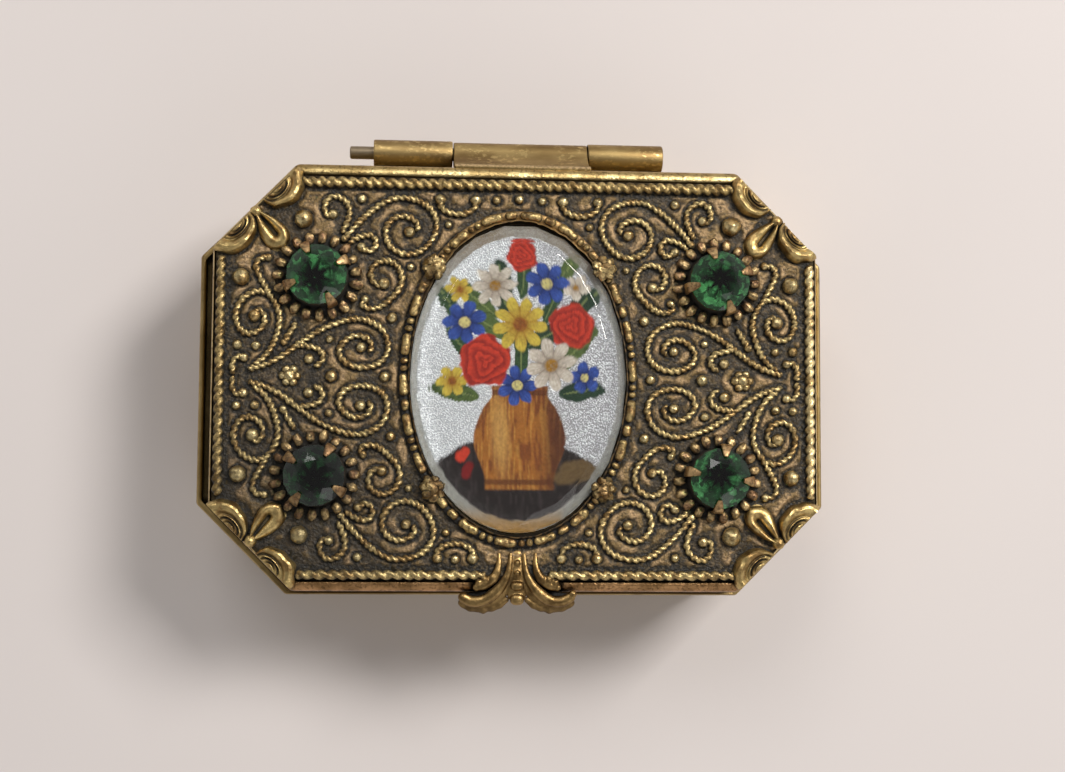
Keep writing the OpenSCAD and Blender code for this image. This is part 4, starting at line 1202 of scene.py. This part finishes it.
# The flowers from back to front: x, y, radius, petals (0 for a rose) and kind
BLOOMS = (
    (-4.9, 7.3, 1.1, 6, "yellow"), (-5.5, -0.3, 1.4, 6, "yellow"), (5.5, 0.1, 1.4, 5, "blue"),
    (0.2, 10.2, 1.4, 0, "red"), (4.7, 7.6, 1.1, 5, "white"), (-4.5, 4.6, 1.95, 7, "blue"), (4.4, 4.4, 2.0, 0, "red"),
    (-2.0, 7.7, 1.9, 8, "white"), (2.3, 7.9, 1.95, 7, "blue"), (-0.1, -0.6, 1.8, 7, "blue"),
    (2.7, 1.1, 2.25, 8, "white"), (-2.8, 1.4, 2.3, 0, "red"), (0.1, 4.5, 2.4, 9, "yellow")
)


def tone_of(red, green, blue):
    return 0.62 * np.array(srgb(red, green, blue)[:3])


def between(a, b, share):
    return a + (b - a) * share[:, None]


def paint_picture(x, y):
    """A big jar of garden flowers on a dark cloth, as colours and ink over a silver card."""
    # The silver ground, lighter on the left and darker on the right: a painted sheen.
    colour = between(tone_of(196, 200, 204), tone_of(162, 162, 166), step_up(x, -4.0, 5.0))
    ink = np.zeros(len(x))

    def lay(cover, tone, strength=1.0):
        """Lays three display values, or an array of colours, where cover says."""
        nonlocal colour, ink
        cover = cover * strength
        colour = between(colour, tone if isinstance(tone, np.ndarray) else tone_of(*tone), cover)
        ink = np.maximum(ink, cover)

    def speckle(cover, along, across, size, seed, start, tone, strength, end=0.8):
        spots = blotches(x * along, y * across, size, seed)
        lay(cover * step_up(spots, start, end), tone, strength)

    # The cloth
    drape = -4.6 - 0.06 * x ** 2 + 0.3 * np.sin(x * 0.9) + 0.3 * (blotches(x, y, 0.8, 4) - 0.5)
    cloth = 1 - step_up(y - drape, -0.12, 0.12)
    lay(cloth, (34, 26, 26))
    speckle(cloth, 2.6, 0.5, 0.5, 21, 0.55, (66, 58, 58), 0.5)
    lay(disc(x, y, 4.8, -7.6, 2.0, 0.9, 24, 0.3, 0.4, 6) * cloth, (120, 96, 58), 0.7)
    for k, (cx, cy, r, turn) in enumerate(LEAVES):
        blade = disc(x, y, cx, cy, r, 0.56 + 0.14 * (k % 3), turn, 0.12, 0.3, k)
        lay(blade, GREENS[k % 3])
        speckle(blade, 1.5, 4, 0.6, k, 0.5, (34, 54, 40), 0.5)
        lay(disc(x, y, cx, cy, r * 0.85, 0.08, turn, 0.06), (140, 152, 92), 0.6)
    # The jar
    waist = 3.3 + 0.5 * np.cos((y + 5.0) * 0.85) - 0.5 * step_up(y, -2.6, -1.4)
    jar = (1 - step_up(abs(x - 0.1) - waist, -0.1, 0.1)) * step_up(y, -9.3, -9.1) * (1 - step_up(y, -0.75, -0.55))
    lay(jar, (164, 104, 42))
    lay(jar * step_up(blotches(x * 3 + 0.3 * np.sin(y), y * 0.5, 0.6, 12), 0.35, 0.7), (124, 66, 30), 0.85)
    speckle(jar, 4, 0.4, 0.6, 17, 0.5, (196, 142, 64), 0.6)
    lay(jar * disc(x, y, -1.5, -4.6, 0.7, 3.0, 4, 0.5), (210, 166, 96), 0.6)
    lay(jar * step_up(x, 1.2, 3.2), (76, 38, 22), 0.8)
    for band in (-1.2, -8.6):
        lay(jar * (1 - step_up(abs(y - band), 0.14, 0.3)), (92, 48, 24), 0.8)
    for seed, (cx, cy, r, petals, kind) in enumerate(BLOOMS):
        tone, shade, heart = KINDS[kind]
        across, turn = np.hypot(x - cx, y - cy) / r, np.arctan2(y - cy, x - cx) + seed
        across = across * (1 + 0.16 * (blotches(x, y, 0.5, seed) - 0.5))
        if petals:
            lobes = abs(np.cos(petals * turn / 2)) ** 0.6
            cover = 1 - step_up(across - 0.5 - 0.46 * lobes, -0.05, 0.05)
            veins = 0.86 + 0.14 * np.cos(turn * petals * 5)
            light = (0.2 + 0.8 * step_up(lobes, 0.2, 0.75)) * (0.45 + 0.55 * step_up(across, 0.25, 0.8)) * veins
        else:
            cover = 1 - step_up(across - 0.93 - 0.06 * np.cos(5 * turn), -0.05, 0.05)
            rings = across * 3.3 + 0.28 * np.cos(3 * turn + 7 * np.floor(across * 3.3)) - turn / (2 * math.pi)
            light = 0.25 + 0.75 * step_up(rings - np.floor(rings), 0.05, 0.9)
        light = light * (0.8 + 0.35 * blotches(x * 2, y * 2, 0.5, seed + 3))
        lay(cover, between(tone_of(*shade), tone_of(*tone), np.clip(light, 0, 1)))
        if petals:
            core = 1 - step_up(across, 0.2, 0.27)
            lay(1 - step_up(across, 0.26, 0.36), shade, 0.7)
            lay(core, heart)
            speckle(core, 1, 1, 0.14, seed, 0.5, shade, 0.5)
    # Fallen petals on the cloth
    for cx, cy, tone in zip((-4.6, -4.2), (-6.4, -7.6), KINDS["red"]):
        lay(disc(x, y, cx, cy, 0.7, 0.42, 25 * cx, 0.12, 0.6, 3), tone)
    # The glass's bevel seen over the card's edge, painted as a reflection: grey, brown at the top where the frame
    # shows, amber in patches at the bottom, and darker to the right, a painted shade
    across, up = x / GLASS_A, y / GLASS_B
    bevel_reflection = step_up(np.hypot(across, up) + 0.01 * (blotches(x, y, 0.5, 2) - 0.5), 0.895, 0.905)
    frame_reflection = step_up(up, 0.45, 0.85) * (0.5 + 0.5 * blotches(x, y, 1.6, 33))
    tone = between(tone_of(158, 158, 152), tone_of(124, 104, 74), frame_reflection)
    tone = between(tone, tone_of(166, 128, 70), step_up(-up, 0.78, 0.95) * step_up(blotches(x, y, 2.2, 35), 0.3, 0.5))
    lay(bevel_reflection, tone * (1 - 0.22 * step_up(across, 0.3, 0.9))[:, None], 0.85)
    grainy = 0.8 + 0.4 * blotches(x, y, 0.14, 31)
    return np.clip(colour * (1 + (grainy - 1) * ink)[:, None], 0, 1), ink


PRINT_RINGS = 110
PRINT_SIDES = 300


def make_picture():
    """The print: a fine round mesh that carries the paint, on the card."""
    low, high = (corner.z for corner in box_mm("picture_print"))
    rings = []
    for k in range(PRINT_RINGS):
        rho = (k + 1) / PRINT_RINGS
        ring = oval_points((GLASS_A - 0.03) * rho, (GLASS_B - 0.03) * rho, high, circle(PRINT_SIDES))
        ring[:, 2] += 0.01 * (blotches(ring[:, 0], ring[:, 1], 3.0, 2) - 0.5) - 0.015
        rings.append(ring)
    rings.append(rings[-1] * (1, 1, 0) + (0, 0, low))
    points, faces = loft(rings)
    obj = piece("flower_print", [(points, faces)], "picture", "picture_print", sharp=60)
    colour, ink = paint_picture(points[:, 0], points[:, 1])
    store(obj, "paint", "FLOAT_COLOR", "color", np.column_stack([colour, np.ones(len(colour))]))
    store(obj, "ink", "FLOAT", "value", ink)


# ---- Thumb-piece ----
BAR_SIDES = 16
BAR_STEP = 0.12


def bar(points, flatten=0.8, dents=0.0):
    """A round bar with round ends through points of x, y, z above the ground, radius."""
    line, length = smooth_path(points, BAR_STEP)
    line[:, 3] *= 1 + dents * (blotches(length, 0 * length, 0.35, 6) - 0.5)
    skin = tube(line[:, :2], line[:, 2] + GROUND, np.repeat(line[:, 3:], BAR_SIDES, 1), flatten)
    return [skin] + [ball((x, y, z + GROUND), r, 16, 10, (1, 1, flatten)) for x, y, z, r in line[[0, -1]]]


def mirrored(points):
    return [(-x, *rest) for x, *rest in points]


def cast_piece(name, parts, voxel, material, node):
    """Joins overlapping solids into one skin, as a casting, plainer on its underside."""
    work = new_object(name + "_work", to_mesh(name + "_work", *join_parts(parts)))
    remesh = work.modifiers.new("Remesh", "REMESH")
    remesh.mode = "VOXEL"
    remesh.voxel_size = voxel
    relax = work.modifiers.new("Smooth", "SMOOTH")
    relax.iterations = 2
    done = bpy.data.meshes.new_from_object(work.evaluated_get(bpy.context.evaluated_depsgraph_get()))
    bpy.data.objects.remove(work)
    done.name = name
    done.transform(Matrix.Scale(MM, 4))
    done.shade_smooth()
    second_material(add_piece(name, done, material, node), "pan", lambda face: face.normal.z < -0.35)


# Bars through x, y, height above the ground and radius, on the right side
THUMB_MIDDLE = [(0, -14.6, -0.12, 0.55), (0, -16, -0.08, 0.72), (0, -17.6, -0.15, 0.85)]
THUMB_EDGE = [
    (0.56, -14.5, 0.15, 0.17), (0.62, -15.3, 0.24, 0.2), (0.76, -16.0, 0.26, 0.26), (1.08, -16.75, 0.2, 0.36),
    (1.75, -17.6, 0.05, 0.46), (2.7, -18.25, -0.12, 0.46), (3.7, -18.36, -0.2, 0.46), (4.42, -18.05, -0.12, 0.42)
]
THUMB_UNDER = [
    (0.7, -17.0, -0.16, 0.4), (1.4, -17.9, -0.42, 0.42), (2.6, -18.5, -0.58, 0.44), (3.7, -18.55, -0.62, 0.42),
    (4.3, -18.3, -0.5, 0.38)
]
THUMB_LIP = [
    (0.85, -18.25, -0.42, 0.3), (1.8, -18.82, -0.66, 0.34), (2.9, -19.04, -0.76, 0.35), (3.9, -18.88, -0.7, 0.33),
    (4.5, -18.5, -0.52, 0.3)
]
# A dark sheet behind the arms, put where there is only shade: painted shadow.
THUMB_SHADE_SHEET = [
    (0.9, -16.9, -0.7, 0.42), (1.7, -17.6, -0.85, 0.5), (2.7, -18.0, -0.9, 0.5), (3.6, -18.1, -0.95, 0.48),
    (4.1, -18.05, -0.9, 0.4)
]
PETAL = [
    (1.5, -14.5, 0.08, 0.18), (1.5, -15.2, 0.16, 0.23), (1.64, -15.9, 0.2, 0.33), (2.0, -16.5, 0.18, 0.4),
    (2.6, -16.98, 0.08, 0.4), (3.3, -17.2, 0.0, 0.34)
]


def make_thumb_piece():
    """A tongue with raised edges and two beads, that parts into two arms with a notched lower band."""
    parts = bar(THUMB_MIDDLE, flatten=0.5)
    for way in (list, mirrored):
        for line, dents in ((THUMB_EDGE, 0.08), (THUMB_UNDER, 0), (THUMB_LIP, 0.42)):
            parts += bar(way(line), dents=dents)
    parts += [
        ball((0, -17.1, GROUND + 0.24), 0.42, 20, 12, (1.3, 0.88, 0.95), boxy=0.72),
        ball((0, -18.2, GROUND + 0.06), 0.48, 20, 12, (1.22, 1, 0.95), boxy=0.8),
        ball((0, -15.2, GROUND + 0.16), 0.24, lumps=0.3, seed=2),
        ball((0, -16.05, GROUND + 0.2), 0.26, lumps=0.3, seed=3),
        ball((4.62, -17.75, GROUND - 0.02), 0.34, lumps=0.2, seed=4)
    ]
    cast_piece("thumb_lift", parts, 0.06, "thumb", "thumb_piece")
    # The dark sheet behind the arms: painted shadow.
    shade_sheet = bar(THUMB_SHADE_SHEET, flatten=0.5) + bar(mirrored(THUMB_SHADE_SHEET), flatten=0.5)
    cast_piece("thumb_shade_sheet", shade_sheet, 0.08, "shade_sheet", "thumb_piece")
    parts = bar(PETAL, dents=0.15) + bar(mirrored(PETAL), dents=0.15)
    for side in (-1, 1):
        parts.append(ball((side * 2.65, -16.55, GROUND + 0.22), 0.34, lumps=0.35, seed=5))
        parts.append(ball((side * 3.15, -16.8, GROUND + 0.12), 0.32, lumps=0.35, seed=6))
    cast_piece("thumb_petals", parts, 0.06, "thumb", "front_petals")


# ---- Stage ----
# Metres
FLOOR_HALF = 3.0
FLOOR_DROP = 0.03 * MM


def make_stage():
    """A pale floor just below the box, which turns to an even backdrop far away."""
    half = FLOOR_HALF
    points = np.array([(x * half, y * half, -FLOOR_DROP) for x, y in ((-1, -1), (1, -1), (1, 1), (-1, 1))])
    floor = new_object("floor", to_mesh("floor", points, [(0, 1, 2, 3)], outward=False))
    s = Surface("floor_cloth", Roughness=0.9, Emission_Color=(1.0, 0.95, 0.93, 1))
    s.set(Base_Color=s.blend(s.noise(60.0, 2.0), (207, 200, 198), (217, 210, 208)))
    paths = s.add("LightPath", {}).outputs
    seen = s.most(*(paths["Is %s Ray" % kind] for kind in ("Camera", "Glossy", "Transmission")))
    away = s.add("VectorMath", {0: s.place()}, operation="LENGTH").outputs["Value"]
    s.set(Emission_Strength=s.times(seen, s.span(away, 0.16, 0.9, 0.0, 0.34)))
    floor.data.materials.append(s.material)


# Place in metres, width in metres, power in watts and colour
LAMPS = {
    "key": ((0.26, 0.2, 0.4), 0.16, 2.1, (1.0, 0.97, 0.93)),
    "fill": ((-0.12, 0.3, 0.42), 0.22, 0.6, (1.0, 0.98, 0.95)),
    "front": ((0.22, -0.36, 0.35), 0.3, 0.26, (1.0, 0.98, 0.96)),
}
LAMPS_AIM = (0, 0, 0.01)


def make_lights():
    for name, (place, size, power, tone) in LAMPS.items():
        lamp = bpy.data.lights.new(name, "AREA")
        lamp.shape = "SQUARE"
        lamp.size = size
        lamp.energy = power
        lamp.color = tone
        obj = new_object(name, lamp)
        obj.location = place
        obj.rotation_euler = (Vector(LAMPS_AIM) - Vector(place)).to_track_quat("-Z", "Y").to_euler()
    world = bpy.data.worlds.new("soft_room")
    bpy.context.scene.world = world
    world.use_nodes = True
    tree = world.node_tree
    place, split, ramp = (tree.nodes.new("ShaderNode" + kind) for kind in ("TexCoord", "SeparateXYZ", "MapRange"))
    tree.links.new(place.outputs["Generated"], split.inputs[0])
    tree.links.new(split.outputs["Z"], ramp.inputs["Value"])
    for key, value in (("From Min", 0.0), ("From Max", 0.8), ("To Min", 0.72), ("To Max", 0.22)):
        ramp.inputs[key].default_value = value
    back = tree.nodes["Background"]
    back.inputs["Color"].default_value = (1.0, 0.98, 0.96, 1)
    tree.links.new(ramp.outputs["Result"], back.inputs["Strength"])


CAMERA_AT = (-9.94, -11.53, 154.7)
CAMERA_AHEAD = (0.07925, 0.07782, -0.99381)
CAMERA_UP = (-0.01202, 0.99695, 0.07710)
PHOTO_WIDTH = 1065
FOCAL_PIXELS = 1691.5


def make_camera():
    camera = bpy.data.cameras.new("camera")
    camera.sensor_width = 36
    camera.lens = camera.sensor_width * FOCAL_PIXELS / PHOTO_WIDTH
    camera.clip_start = 0.01
    ahead = Vector(CAMERA_AHEAD).normalized()
    right = ahead.cross(Vector(CAMERA_UP)).normalized()
    turn = Matrix((right, right.cross(ahead), -ahead)).transposed().to_4x4()
    obj = new_object("camera", camera)
    obj.matrix_world = Matrix.Translation(Vector(CAMERA_AT) * MM) @ turn
    bpy.context.scene.camera = obj


def dress_cad_nodes():
    for node, material in (("filigree_plate", "plate"), ("pearl_card", "card")):
        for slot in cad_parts[node].material_slots:
            slot.material = MATERIALS[material]


make_camera()
make_stage()
make_lights()
make_base()
make_stud()
make_hinge()
make_lid_shell()
make_rivets()
wire_track = make_wires()
make_granules()
make_ropes()
make_corners()
make_frame()
make_frame_claws()
make_ground(wire_track)
make_settings()
make_picture()
make_glass()
make_thumb_piece()
dress_cad_nodes()
bpy.context.scene.view_settings.view_transform = "Standard"
